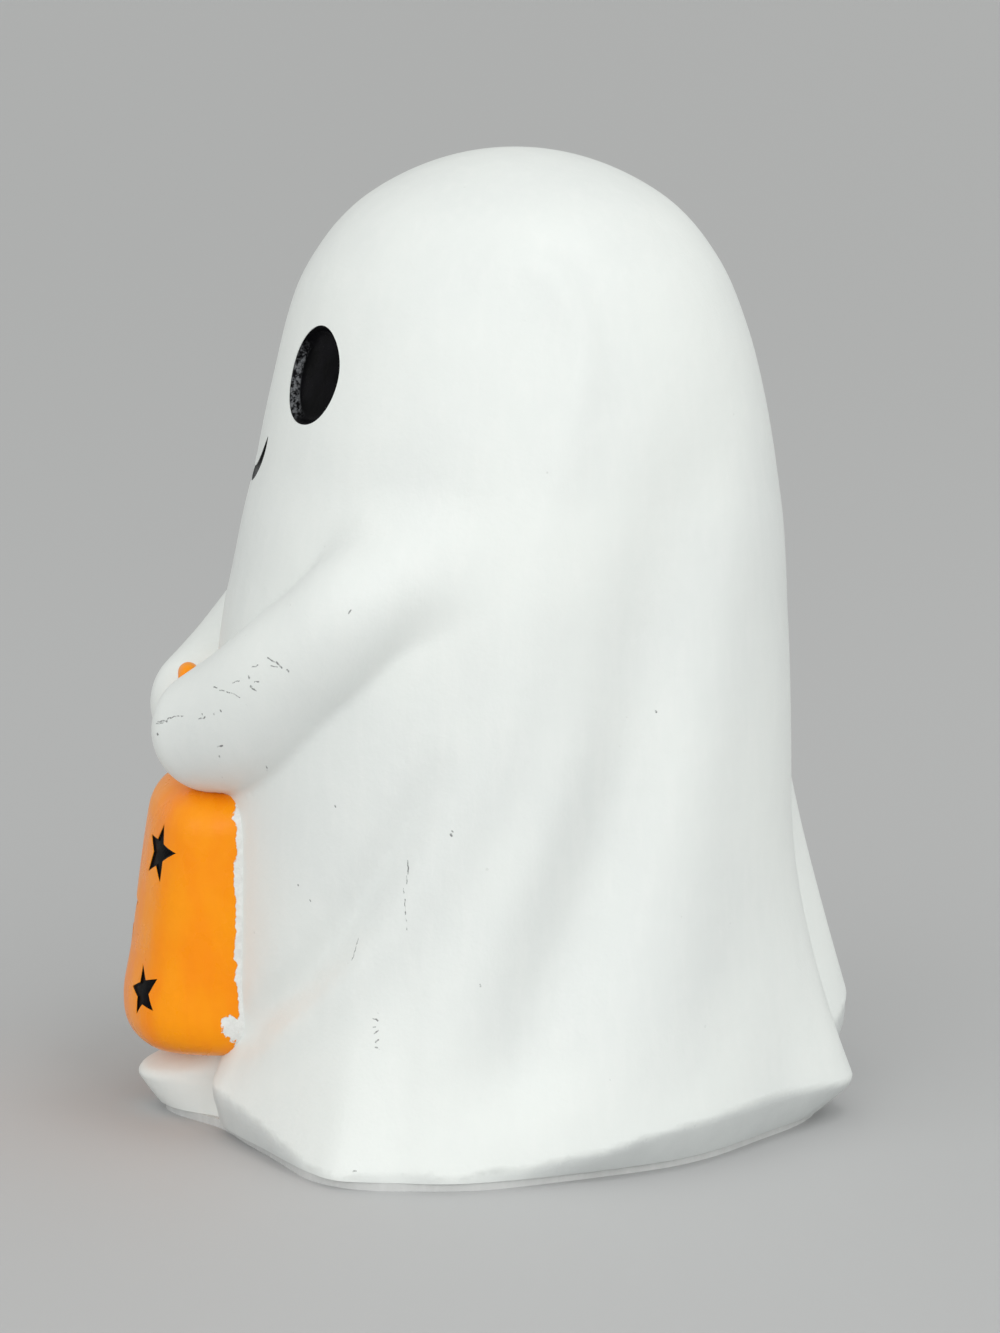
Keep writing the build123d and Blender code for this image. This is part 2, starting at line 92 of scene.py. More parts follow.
def soft_min(a, b, k):
    h = np.maximum(k - np.abs(a - b), 0) / k
    return np.minimum(a, b) - h * h * k / 4


def soft_max(a, b, k):
    return -soft_min(-a, -b, k)


# ---------------------------------------------------------------- draped body
# half width and half depth of the plain body are root(depth below the crown) times these
WIDE = along([(0, 10.72), (5.6, 10.52), (11.3, 10.30), (17, 9.92), (23, 9.50), (28.5, 9.17), (40, 8.46), (51.5, 7.90),
              (63, 7.46), (75, 7.07), (86, 6.81), (98, 6.545), (110, 6.29), (140, 5.745), (170, 5.29), (230, 4.576)])
DEEP = along([(0, 10.80), (5.6, 10.60), (11.3, 10.40), (17, 10.02), (23, 9.59), (28.5, 9.25), (40, 8.53), (51.5, 7.95),
              (63, 7.51), (75, 7.14), (86, 6.90), (98, 6.635), (110, 6.41), (140, 5.85), (170, 5.34), (230, 4.589)])
CENTRE_Y = along([(0, 0), (60, 0.2), (90, 0.4), (120, 1.2), (132, 2.2), (144, 3.0), (160, 3.8), (178, 4.0),
                  (200, 3.5), (230, 3.5)])
# the hem by angle: radius of its edge, height of that edge, how far the foot stands in below it
HEM = [(-90, 88, 10.3, 7.2), (-85, 86.0, 10.4, 6.9), (-81, 79.6, 10.8, 3.2), (-78, 74.0, 11.2, 0.7), (-75.5, 70.9, 11.6, -0.9),
       (-73.5, 71.4, 11.8, -0.4), (-70.5, 74.6, 11.8, 3.2), (-67, 75.4, 11.2, 3.4), (-62, 75.2, 10.2, 2.8), (-52, 76.6, 7.8, 2.6), (-43, 79.9, 5.0, 1.9), (-36.5, 83.4, 3.0, 1.0),
       (-31, 86.0, 2.6, 0.6), (-26.6, 84.8, 3.4, 0.8), (-21, 82.6, 2.8, 0.6), (-16.5, 82.0, 3.8, 1.0), (-12, 80.8, 2.9, 0.7),
       (-7, 79.0, 3.4, 1.0), (-1.6, 77.2, 4.0, 1.6),
       (2, 76.7, 4.8, 2.6), (7, 76.3, 6, 3.9), (12.4, 76.4, 7, 5.2), (16.6, 76.7, 8.4, 5.9), (21, 76.9, 9.8, 6.3),
       (31, 77.2, 11.3, 6.2), (46, 76.6, 12.0, 6.0), (56, 78.0, 11.6, 6.6), (66, 82.8, 10.4, 8.4), (72, 85.6, 9.4, 9.8),
       (77, 85.4, 9.0, 9.4), (83, 82.0, 9.4, 6), (89, 79.2, 12, 4.5), (94, 85.0, 17, 5), (100, 88.8, 20, 6), (107, 87.8, 19, 6),
       (114, 84.4, 15, 5), (123, 80.4, 10, 4), (135, 77.5, 6.4, 2.2), (150, 77.6, 4.4, 1.6), (165, 78.6, 3.8, 1.2),
       (180, 78.8, 3.6, 1.2), (195, 80.8, 3.8, 1.2), (208, 84.6, 4.4, 1.0), (216, 83.8, 4.4, 1.4), (228, 78.4, 6.6, 2.2),
       (240, 74.2, 9.4, 1.6), (250, 71.8, 11.4, 0.4), (257, 72.8, 11.3, 0.6), (261, 79.0, 10.8, 3.4), (265, 85.6, 10.4, 6.8)]
HEM_R = around([(h[0], h[1]) for h in HEM])
HEM_Z_EVEN = around([(h[0], h[2]) for h in HEM])
# small waves pressed into the lower edge below the left arm
HEM_WAVE = around([(-60, 0), (-36, 0), (-29, -0.5), (-21, 0.9), (-14, -0.5), (-6, 1.0), (-2, 0.1), (6, 0.3), (14, 0), (90, 0),
                   (180, 0)])


def HEM_Z(deg):
    return HEM_Z_EVEN(deg) + HEM_WAVE(deg)



FOOT_IN = around([(h[0], h[3]) for h in HEM])
FLARE_Z = around([(-90, 24), (-80, 22), (-72, 24), (-60, 27), (-45, 38), (-31, 58), (-12, 84), (10, 92), (30, 88),
                  (50, 82), (74, 78), (88, 84), (100, 98), (112, 98), (130, 90), (160, 92), (190, 84), (211, 58), (225, 38),
                  (240, 27), (252, 22), (262, 22)])
FLARE_P = around([(-90, 1.6), (-72, 1.3), (-45, 1.35), (-12, 1.8), (30, 2.0), (70, 1.8), (88, 1.8), (100, 1.25),
                  (112, 1.4), (150, 2.0), (190, 1.8), (225, 1.35), (252, 1.3)])
# folds drawn on the skin as strokes: degrees, height, how far they stand out, width
FOLDS = [
    # long ridge beside the face, hooked at its top and running down to the front corner
    [(-14.3, 200.7, 0.0, 4.4), (-12.6, 205.0, 0.45, 4.0), (-6.0, 207.4, 0.85, 4.0), (2.1, 205.5, 1.1, 4.2), (7.8, 199.8, 1.2, 4.4),
     (10.6, 193.2, 1.2, 4.8), (10.6, 186.0, 1.15, 5.0), (8.9, 178.0, 1.1, 5.4), (6.1, 169.3, 1.1, 6.2), (2.7, 160.5, 1.2, 7.2),
     (-0.3, 151.8, 1.4, 8), (-2.1, 141.2, 1.7, 9), (-2.9, 128.0, 1.9, 9), (-3.5, 114.6, 1.8, 8.5), (-5.5, 102.3, 1.8, 8),
     (-8.7, 91.0, 1.9, 8), (-13.2, 80.7, 2.0, 8), (-19.3, 68.0, 2.1, 7.5), (-26.7, 53.8, 2.0, 7), (-35.6, 42.3, 1.8, 6.5),
     (-46.3, 31.6, 1.3, 6), (-56.9, 22.5, 0.6, 6)],
    # rounded shoulder in front of the deep valley
    [(8.9, 105.3, 0.0, 8), (6.1, 94.2, 0.8, 8), (1.7, 79.6, 1.5, 8), (-3.7, 63.9, 1.8, 8.5), (-9.1, 48.2, 1.7, 9),
     (-13.3, 32.7, 1.2, 10), (-16.0, 18.4, 0.6, 11)],
    # dish inside the hook
    [(-5.2, 198.2, -0.1, 8), (-2.3, 189.5, -0.3, 9), (-3.4, 178.6, -0.3, 9), (-7.1, 167.6, -0.15, 10), (-10.7, 158.8, 0.0, 10)],
    # crease that runs down to the front corner
    [(-15.3, 98.3, 0.0, 5), (-20.5, 87.2, -1.4, 5), (-26.6, 74.2, -2.3, 5), (-32.7, 62.8, -2.7, 5), (-39.1, 52.0, -2.8, 5),
     (-46.7, 41.7, -2.8, 5), (-57.3, 31.0, -2.2, 5), (-63.4, 24.2, -1.0, 5)],
    # deep valley
    [(47.3, 171.9, 0.0, 12), (36.3, 158.2, -1.7, 13.5), (28.5, 142.1, -3.1, 14), (24.8, 124.5, -3.9, 13.5), (22.5, 108.9, -4.2, 12.5),
     (20.1, 93.3, -4.5, 11), (16.2, 77.7, -4.4, 10.4), (10.7, 59.9, -4.2, 10.6), (4.5, 42.3, -3.7, 10.8), (-0.9, 26.8, -3.1, 10.8),
     (-5.0, 11.4, -2.0, 11)],
    # low ridge behind it and the shallow hollow before the back corner
    [(51.8, 151.0, 0.2, 9), (45.6, 138.1, 0.4, 9), (42.3, 120.3, 0.5, 9), (39.6, 102.3, 0.6, 9), (37.2, 84.3, 0.7, 9.5),
     (33.8, 66.4, 0.8, 10), (29.2, 48.8, 0.8, 10), (24.1, 33.6, 0.8, 11), (19.4, 18.4, 0.7, 12)],
    [(52.7, 65.0, 0.0, 9), (47.5, 52.1, -0.3, 10), (40.9, 39.6, -0.5, 11), (34.0, 27.3, -0.5, 12), (28.9, 14.7, -0.4, 12)],
    # crease between the two back folds
    [(90, 112, 0.0, 7), (89, 84, -0.8, 7), (88, 52, -2.0, 7), (87, 28, -2.6, 7), (87, 10, -2.0, 8)],
    # the far side: hooked ridge, dish, broad hollow, valley, ridge, hollow, crease
    [(190, 196, 0.0, 4.4), (184, 203, 0.4, 4.4), (175, 203, 0.6, 4.6), (168, 194, 0.75, 5), (166, 182, 0.8, 5.4), (169, 168, 1.0, 6.4),
     (174, 150, 1.4, 8), (179, 128, 1.7, 9), (182, 104, 1.8, 8.5), (187, 82, 2.0, 8), (196, 60, 2.1, 7.5), (206, 38, 1.7, 7),
     (213, 18, 0.9, 6)],
    [(178, 192, -0.2, 9), (179, 178, -0.3, 9), (184, 158, 0.0, 10)],
    [(146, 160, 0.0, 12), (152, 140, -2.4, 13), (158, 116, -3.0, 13), (161, 96, -2.0, 12)],
    [(150, 112, 0.0, 10), (156, 92, -1.9, 10), (163, 74, -3.2, 10), (170, 54, -3.6, 10), (177, 32, -3.0, 10), (183, 8, -1.8, 11)],
    [(132, 176, 0.0, 10), (138, 142, 0.8, 10), (143, 108, 1.2, 10), (148, 76, 1.4, 10), (153, 44, 1.4, 11), (157, 14, 1.0, 12)],
    [(124, 92, 0.0, 9), (130, 70, -0.9, 10), (137, 44, -1.3, 11), (144, 12, -1.0, 12)],
    [(190, 80, 0.0, 5), (199, 60, -1.8, 5), (212, 44, -2.6, 5), (226, 32, -2.6, 5), (240, 25, -1.8, 5), (247, 20, -0.8, 5)],
]
SQUARE = 2.08


# how round that edge is
EDGE_K = around([(-90, 5.0), (-84, 4.0), (-77, 2.0), (-70, 1.8), (-50, 2.6), (-36, 2.4), (-20, 1.6), (0, 1.4), (20, 1.2), (50, 1.2),
                 (70, 1.8), (90, 2.4), (104, 4.0), (130, 2.4), (190, 1.6), (216, 2.4), (240, 2.4), (256, 2.0), (264, 4.0)])


def half_width(z):
    h = np.clip(CROWN - z, 0, CROWN)
    return np.sqrt(h) * WIDE(h)


def plain_k(deg, z):
    """Radius of a level over its half width."""
    h = np.clip(CROWN - z, 0, CROWN)
    a = np.radians(deg)
    return (np.abs(np.cos(a)) ** SQUARE + (np.abs(np.sin(a)) * WIDE(h) / DEEP(h)) ** SQUARE) ** (-1 / SQUARE)


ANG = np.arange(0, 360, 0.5)
LEV = np.arange(-12, 236.01, 0.5)


def spline(points, per):
    """Smooth curve through rows of numbers."""
    P = np.array(points, float)
    P = np.vstack([2 * P[0] - P[1], P, 2 * P[-1] - P[-2]])
    out = []
    for i in range(1, len(P) - 2):
        a, b, c, d = P[i - 1], P[i], P[i + 1], P[i + 2]
        for t in np.arange(per) / per:
            out.append(0.5 * ((2 * b) + (c - a) * t + (2 * a - 5 * b + 4 * c - d) * t * t + (3 * b - a - 3 * c + d) * t ** 3))
    out.append(P[-2])
    return np.array(out)


def folded(strokes):
    """Table by angle and height of what the strokes add to the radius."""
    T = np.zeros((len(ANG), len(LEV)))
    for points in strokes:
        q = spline(points, 24)
        for a, b in zip(q[:-1], q[1:]):
            deg, z, h, w = (a + b) / 2
            mm = half_width(min(z, 224.0)) * np.pi / 180
            ds = np.hypot((b[0] - a[0]) * mm, b[1] - a[1])
            i = np.arange(int(round((deg - 3 * w / mm) / 0.5)), int(round((deg + 3 * w / mm) / 0.5)) + 1)
            j = np.arange(max(int((z + 12 - 3 * w) / 0.5), 0), min(int((z + 12 + 3 * w) / 0.5) + 2, len(LEV)))
            across = np.exp(-((i * 0.5 - deg) * mm / w) ** 2)
            T[np.ix_(i % len(ANG), j)] += h * ds / (w * np.sqrt(np.pi)) * across[:, None] * np.exp(-((LEV[j] - z) / w) ** 2)
    return T * np.clip((226 - LEV) / 20, 0, 1) * smooth(0, 30, LEV)


FOLD_TAB = folded(FOLDS)


def look_up(T, deg, z):
    a = (deg % 360) / 0.5
    i = np.floor(a).astype(int)
    fa = a - i
    i0, i1 = i % 720, (i + 1) % 720
    b = np.clip((z + 12) / 0.5, 0, len(LEV) - 1.001)
    j = np.floor(b).astype(int)
    fb = b - j
    return ((T[i0, j] * (1 - fa) + T[i1, j] * fa) * (1 - fb) + (T[i0, j + 1] * (1 - fa) + T[i1, j + 1] * fa) * fb)


def drape(deg, z):
    """What folds and flare add to the plain radius."""
    top = FLARE_Z(deg)
    t = np.clip((top - z) / (top - HEM_Z(deg)), 0, 1.15)
    base = plain_k(deg, 0.0) * half_width(0.0)
    return look_up(FOLD_TAB, deg, z) + (HEM_R(deg) - base) * t ** FLARE_P(deg)


def skin_k(deg, z):
    """Radius of the outside over the plain half width."""
    w = np.maximum(half_width(z), 1e-3)
    edge = HEM_Z(deg)
    r = plain_k(deg, z) * w + drape(deg, z)
    rim = plain_k(deg, edge) * half_width(edge) + drape(deg, edge)
    low = np.clip(1 - z / edge, 0, 1)
    foot = rim - FOOT_IN(deg) * low ** 1.15 + np.maximum(z - edge, 0) * 1.2
    near = z < edge + 14
    r = np.where(near, soft_min(r, foot, EDGE_K(deg)), r)
    return np.where(z > 224, plain_k(deg, z), r / w)


# looked-up copies: outside by angle and height, and distance to the plain profile
K_TAB = skin_k(ANG[:, None] + 0 * LEV[None, :], np.clip(LEV, 0, 229.9)[None, :] + 0 * ANG[:, None])


def profile_distance():
    t = np.linspace(0, 1, 700) ** 2
    pz = np.concatenate([CROWN - 250 * t])
    pr = half_width(np.clip(pz, 0, CROWN))
    pr[pz < 0] = half_width(0.0)
    P = np.stack([pr, pz], 1)
    E, Z = np.meshgrid(np.arange(0, 126, 1.0), np.arange(-12, 246, 1.0), indexing="ij")
    Q = np.stack([E.ravel(), Z.ravel()], 1)
    best = np.full(len(Q), 1e9)
    for a, b in zip(P[:-1], P[1:]):
        ab = b - a
        s = np.clip(((Q - a) @ ab) / max(ab @ ab, 1e-12), 0, 1)
        best = np.minimum(best, ((Q - a - s[:, None] * ab) ** 2).sum(1))
    d = np.sqrt(best).reshape(E.shape)
    inside = (E < half_width(np.clip(Z, 0, CROWN))) & (Z < CROWN)
    return np.where(inside, -d, d)


D_TAB = profile_distance()


def d_at(e, z):
    a = np.clip(e, 0, D_TAB.shape[0] - 1.001)
    b = np.clip(z + 12, 0, D_TAB.shape[1] - 1.001)
    i, j = np.floor(a).astype(int), np.floor(b).astype(int)
    fa, fb = a - i, b - j
    return ((D_TAB[i, j] * (1 - fa) + D_TAB[i + 1, j] * fa) * (1 - fb)
            + (D_TAB[i, j + 1] * (1 - fa) + D_TAB[i + 1, j + 1] * fa) * fb)


def f_body(P):
    x, y, z = P[:, 0], P[:, 1], P[:, 2]
    dy = y - CENTRE_Y(np.clip(z, 0, 229.9))
    k = look_up(K_TAB, np.degrees(np.arctan2(dy, x)), z)
    return d_at(np.hypot(x, dy) / k, z) * k


# ---------------------------------------------------------------- arms
ARM_PATH = np.array([
    (45.0, -10.3, 141.0, 10.0),
    (48.6, -21.8, 137.2, 12.5),
    (49.5, -33.4, 129.9, 14.5),
    (46.0, -41.6, 120.9, 15.4),
    (39.0, -49.6, 111.8, 16.4),
    (29.0, -57.5, 101.9, 17.5),
    (18.5, -68.7, 95.6, 14.7),
])


def even_curve(P):
    """Cubic pieces through rows of numbers with even bending: four coefficients for each piece."""
    n = len(P)
    A = np.eye(n)
    rhs = np.zeros_like(P)
    for i in range(1, n - 1):
        A[i, i - 1:i + 2] = (1, 4, 1)
        rhs[i] = 6 * (P[i + 1] - 2 * P[i] + P[i - 1])
    M = np.linalg.solve(A, rhs)
    return np.stack([P[:-1], P[1:] - P[:-1] - (2 * M[:-1] + M[1:]) / 6, M[:-1] / 2, (M[1:] - M[:-1]) / 6], 1)


ARM_C = even_curve(ARM_PATH)


def arm_at(t):
    """Point and radius on the arm's middle line with its first and second change."""
    i = np.clip(np.floor(t).astype(int), 0, len(ARM_C) - 1)
    u = (t - i)[:, None]
    c = ARM_C[i]
    return (c[:, 0] + u * (c[:, 1] + u * (c[:, 2] + u * c[:, 3])), c[:, 1] + u * (2 * c[:, 2] + 3 * u * c[:, 3]),
            2 * c[:, 2] + 6 * u * c[:, 3])


ARM_T = np.linspace(0, len(ARM_C), 73)
ARM = arm_at(ARM_T)[0]
ARM_LO = (ARM[:, :3] - ARM[:, 3:]).min(0) - 26
ARM_HI = (ARM[:, :3] + ARM[:, 3:]).max(0) + 26
SHOULDER = np.array((50.0, -12.0, 138.0))
REACH = ARM_PATH[-1, :3] - SHOULDER


def f_arms(P):
    """Distance to the nearer arm, and how far from shoulder to hand a point lies."""
    Q = P * np.where(P[:, :1] < 0, [[-1.0, 1, 1]], [[1.0, 1, 1]])
    off = Q - SHOULDER
    t = off @ REACH / (REACH @ REACH) - 0.0045 * (0.8 * off[:, 2] - 0.6 * off[:, 1])
    d = np.full(len(P), 60.0)
    sel = np.where(((Q > ARM_LO) & (Q < ARM_HI)).all(1))[0]
    for part in np.array_split(sel, max(1, len(sel) // 20000)):
        if not len(part):
            continue
        q = Q[part]
        far = (q * q).sum(1)[:, None] + (ARM[:, :3] ** 2).sum(1) - 2 * q @ ARM[:, :3].T
        near = np.sqrt(np.maximum(far, 0)) - ARM[:, 3]
        s = ARM_T[near.argmin(1)]
        for _ in range(4):
            c, c1, c2 = arm_at(s)
            v = q - c[:, :3]
            l = np.maximum(np.sqrt((v * v).sum(1)), 1e-6)
            along_it = (v * c1[:, :3]).sum(1)
            g1 = -along_it / l - c1[:, 3]
            g2 = ((c1[:, :3] ** 2).sum(1) - (v * c2[:, :3]).sum(1)) / l - along_it ** 2 / l ** 3 - c2[:, 3]
            s = np.clip(s - np.clip(g1 / np.maximum(g2, 0.5), -0.1, 0.1), 0, len(ARM_C))
        c = arm_at(s)[0]
        d[part] = np.sqrt(((q - c[:, :3]) ** 2).sum(1)) - c[:, 3]
    return d, t


def f_union(P):
    a, t = f_arms(P)
    return soft_min(f_body(P), a, 1.8 + 7.5 * (1 - smooth(0.0, 0.30, t)))


def gradient(f, P, e=0.06):
    g = np.empty_like(P)
    for i in range(3):
        s = np.zeros(3)
        s[i] = e
        g[:, i] = (f(P + s) - f(P - s)) / (2 * e)
    return g


def onto(f, P, rounds=4, most=0.8):
    for _ in range(rounds):
        g = gradient(f, P)
        step = (f(P) / np.maximum((g * g).sum(1), 1e-6))[:, None] * g
        l = np.linalg.norm(step, axis=1, keepdims=True)
        P = P - step * np.minimum(1, most / np.maximum(l, 1e-9))
    return P


# ---------------------------------------------------------------- meshing a closed form from its field
CORNERS = [(i, j, k) for i in (0, 1) for j in (0, 1) for k in (0, 1)]
EDGES = [(a, b) for a in range(8) for b in range(a + 1, 8)
         if sum(abs(u - v) for u, v in zip(CORNERS[a], CORNERS[b])) == 1]


def nets(F, low, h):
    neg = F < 0
    n = np.zeros(tuple(s - 1 for s in F.shape), np.int8)
    for i, j, k in CORNERS:
        n += neg[i:F.shape[0] - 1 + i, j:F.shape[1] - 1 + j, k:F.shape[2] - 1 + k]
    cell = np.argwhere((n > 0) & (n < 8))
    vid = np.full(n.shape, -1, np.int64)
    vid[tuple(cell.T)] = np.arange(len(cell))
    val = np.stack([F[cell[:, 0] + i, cell[:, 1] + j, cell[:, 2] + k] for i, j, k in CORNERS], 1)
    tot = np.zeros((len(cell), 3))
    cnt = np.zeros(len(cell))
    C = np.array(CORNERS, float)
    for a, b in EDGES:
        va, vb = val[:, a], val[:, b]
        m = (va < 0) != (vb < 0)
        t = va[m] / (va[m] - vb[m])
        tot[m] += C[a] + t[:, None] * (C[b] - C[a])
        cnt[m] += 1
    V = low + h * (cell + tot / cnt[:, None])
    quads = []
    for ax in range(3):
        u, v = [(1, 2), (2, 0), (0, 1)][ax]
        s0 = [slice(1, -1)] * 3
        s1 = [slice(1, -1)] * 3
        s0[ax], s1[ax] = slice(0, -1), slice(1, None)
        a, b = neg[tuple(s0)], neg[tuple(s1)]
        at = np.argwhere(a != b)
        ina = a[tuple(at.T)]
        base = at + np.array([0 if i == ax else 1 for i in range(3)])
        du, dv = np.zeros(3, int), np.zeros(3, int)
        du[u], dv[v] = 1, 1
        q = np.stack([vid[tuple((base - du - dv).T)], vid[tuple((base - dv).T)],
                      vid[tuple(base.T)], vid[tuple((base - du).T)]], 1)
        q[~ina] = q[~ina][:, ::-1]
        quads.append(q)
    return V, np.vstack(quads)


def relax(f, V, Q, rounds, keep=None):
    """Evens out the mesh along the surface."""
    e = np.vstack([Q[:, [0, 1]], Q[:, [1, 2]], Q[:, [2, 3]], Q[:, [3, 0]]])
    e = np.vstack([e, e[:, ::-1]])
    cnt = np.bincount(e[:, 0], minlength=len(V)).astype(float)
    for _ in range(rounds):
        avg = np.stack([np.bincount(e[:, 0], V[e[:, 1], i], len(V)) for i in range(3)], 1) / cnt[:, None]
        step = 0.5 * (avg - V)
        if keep is not None:
            step[keep] = 0
        V = V + step
        W = onto(f, V, 2)
        V = np.where(keep[:, None], V, W) if keep is not None else W
    return V


def grid_field(f, lo, hi, h):
    ax = [np.arange(lo[i], hi[i] + h, h) for i in range(3)]
    F = np.empty(tuple(len(a) for a in ax))
    for k, z in enumerate(ax[2]):
        X, Y = np.meshgrid(ax[0], ax[1], indexing="ij")
        P = np.stack([X.ravel(), Y.ravel(), np.full(X.size, z)], 1)
        F[:, :, k] = f(P).reshape(X.shape)
    return F, np.array([a[0] for a in ax])


# ---------------------------------------------------------------- blender helpers
def make_object(name, V, faces, smooth_shade=True):
    me = bpy.data.meshes.new(name)
    me.from_pydata([tuple(v) for v in np.asarray(V) * MM], [], [tuple(int(i) for i in f) for f in faces])
    me.update()
    if smooth_shade:
        me.polygons.foreach_set("use_smooth", np.ones(len(me.polygons), bool))
    ob = bpy.data.objects.new(name, me)
    bpy.context.scene.collection.objects.link(ob)
    return ob


def carve(ob, cutters):
    """Takes the cutters out of a closed mesh."""
    for c in cutters:
        m = ob.modifiers.new("cut", "BOOLEAN")
        m.operation, m.solver, m.object = "DIFFERENCE", "EXACT", c
    dg = bpy.context.evaluated_depsgraph_get()
    me = bpy.data.meshes.new_from_object(ob.evaluated_get(dg))
    ob.modifiers.clear()
    old = ob.data
    ob.data = me
    bpy.data.meshes.remove(old)
    for c in cutters:
        d = c.data
        bpy.data.objects.remove(c)
        bpy.data.meshes.remove(d)


def set_skin_normals(ob, f, limit=0.25):
    """Faces that lie on the surface of f take its true normals, the rest stay as they are cut."""
    me = ob.data
    nv, nl, npoly = len(me.vertices), len(me.loops), len(me.polygons)
    co = np.empty(nv * 3)
    me.vertices.foreach_get("co", co)
    co = co.reshape(-1, 3) / MM
    lv = np.empty(nl, int)
    me.loops.foreach_get("vertex_index", lv)
    ls, lt = np.empty(npoly, int), np.empty(npoly, int)
    me.polygons.foreach_get("loop_start", ls)
    me.polygons.foreach_get("loop_total", lt)
    fn = np.empty(npoly * 3)
    me.polygons.foreach_get("normal", fn)
    fn = fn.reshape(-1, 3)
    me.polygons.foreach_set("use_smooth", np.ones(npoly, bool))
    val = np.abs(f(co))
    g = gradient(f, co)
    g /= np.maximum(np.linalg.norm(g, axis=1, keepdims=True), 1e-9)
    face = np.repeat(np.arange(npoly), lt)
    worst = np.zeros(npoly)
    np.maximum.at(worst, face, val[lv])
    agree = np.ones(npoly)
    np.minimum.at(agree, face, (g[lv] * fn[face]).sum(1))
    skin = (worst < limit) & (agree > 0.55)
    n = np.where(skin[face][:, None], g[lv], fn[face])
    me.normals_split_custom_set(n.tolist())
    me.update()
    return skin


# ---------------------------------------------------------------- body and arms from one skin
H = 1.3
floor_z = PLATE_T
F, low = grid_field(lambda P: np.maximum(f_union(P), floor_z - P[:, 2]), (-92.0, -95.0, floor_z - 1.5 * H), (92.0, 94.0, 232.0), H)
V, Q = nets(F, low, H)
at_floor = np.abs(V[:, 2] - floor_z) < 0.75 * H
rim = at_floor & (f_union(V) > -0.9 * H)
V[at_floor, 2] = floor_z


def flat_onto(P, rounds=5):
    for _ in range(rounds):
        g = gradient(f_union, P)
        g[:, 2] = 0
        P = P - (f_union(P) / np.maximum((g * g).sum(1), 1e-6))[:, None] * g
    return P


V[rim] = flat_onto(V[rim])
free = ~at_floor
V[free] = onto(f_union, V[free])
V = relax(f_union, V, Q, 4, at_floor)

# which faces belong to an arm
cen = V[Q].mean(1)
da, t_arm = f_arms(cen)
is_arm = (da + 1.6 * (1 - smooth(0.12, 0.4, t_arm)) < f_body(cen)) & (cen[:, 2] > 60) & (cen[:, 1] < 5)
side = np.where(cen[:, 0] > 0, 1, -1)


def largest(mask):
    """Keeps only the largest connected patch of a face set."""
    idx = np.where(mask)[0]
    lab = np.arange(len(V))
    q = Q[idx]
    while True:
        m = lab[q].min(1)
        new = lab.copy()
        for c in range(4):
            np.minimum.at(new, q[:, c], m)
        if (new == lab).all():
            break
        lab = new
    comp = lab[q[:, 0]]
    ids, n = np.unique(comp, return_counts=True)
    keep = np.zeros(len(Q), bool)
    keep[idx[comp == ids[n.argmax()]]] = True
    return keep


arm_faces = {s: largest(is_arm & (side == s)) for s in (1, -1)}
body_faces = largest(~(arm_faces[1] | arm_faces[-1]))
for s in (1, -1):
    arm_faces[s] = arm_faces[s] | (~body_faces & ~arm_faces[1] & ~arm_faces[-1] & (side == s))


def seam_of(mask):
    """Ordered corner loop round a face set, as its own faces run."""
    q = Q[mask]
    e = np.vstack([q[:, [0, 1]], q[:, [1, 2]], q[:, [2, 3]], q[:, [3, 0]]])
    have = set(map(tuple, e.tolist()))
    nxt = {a: b for a, b in have if (b, a) not in have}
    loops = []
    while nxt:
        a = next(iter(nxt))
        loop = []
        while a in nxt:
            loop.append(a)
            a = nxt.pop(a)
        loops.append(loop)
    return max(loops, key=len), len(loops)


seams = {}
on_seam = at_floor.copy()
for s in (1, -1):
    loop, n_loops = seam_of(arm_faces[s])
    seams[s] = loop
    P = V[loop]
    for _ in range(6):
        P = 0.5 * P + 0.25 * (np.roll(P, 1, 0) + np.roll(P, -1, 0))
    V[loop] = onto(f_union, P, 3)
    on_seam[loop] = True
    print("seam", s, len(loop), n_loops, int(arm_faces[s].sum()))
V = relax(f_union, V, Q, 3, on_seam)


def seat_face(loop, rings=5):
    """Face inside the wall where an arm is joined, as rings from the seam to its middle."""
    P = V[loop]
    mid = P.mean(0)
    pts, n = [], len(loop)
    for r in range(1, rings):
        q = P + (mid - P) * (r / rings)
        pts.append(onto(lambda X: f_body(X) + 1.6, q, 4, 2.0))
    pts.append(onto(lambda X: f_body(X) + 1.6, mid[None], 4, 2.0))
    return np.vstack(pts), n


def closed_piece(name, mask, loops, flip):
    """A patch of the skin with its seat faces, as a closed mesh."""
    faces = [list(f) for f in Q[mask]]
    verts = [V]
    total = len(V)
    for loop in loops:
        extra, n = seat_face(loop)
        verts.append(extra)
        ids = [list(loop)] + [[total + r * n + i for i in range(n)] for r in range(4)]
        centre = total + 4 * n
        new = []
        for r in range(4):
            for i in range(n):
                j = (i + 1) % n
                new.append([ids[r][j], ids[r][i], ids[r + 1][i], ids[r + 1][j]])
        for i in range(n):
            new.append([ids[4][(i + 1) % n], ids[4][i], centre])
        faces += [f[::-1] for f in new] if flip else new
        total += len(extra)
    W = np.vstack(verts)
    used = np.unique(np.concatenate([np.array(f) for f in faces]))
    back = np.full(len(W), -1)
    back[used] = np.arange(len(used))
    return make_object(name, W[used], [[back[i] for i in f] for f in faces])


body = closed_piece("ghost_body", body_faces, [seams[1], seams[-1]], True)
left_arm = closed_piece("ghost_left_arm", arm_faces[1], [seams[1]], False)
right_arm = closed_piece("ghost_right_arm", arm_faces[-1], [seams[-1]], False)


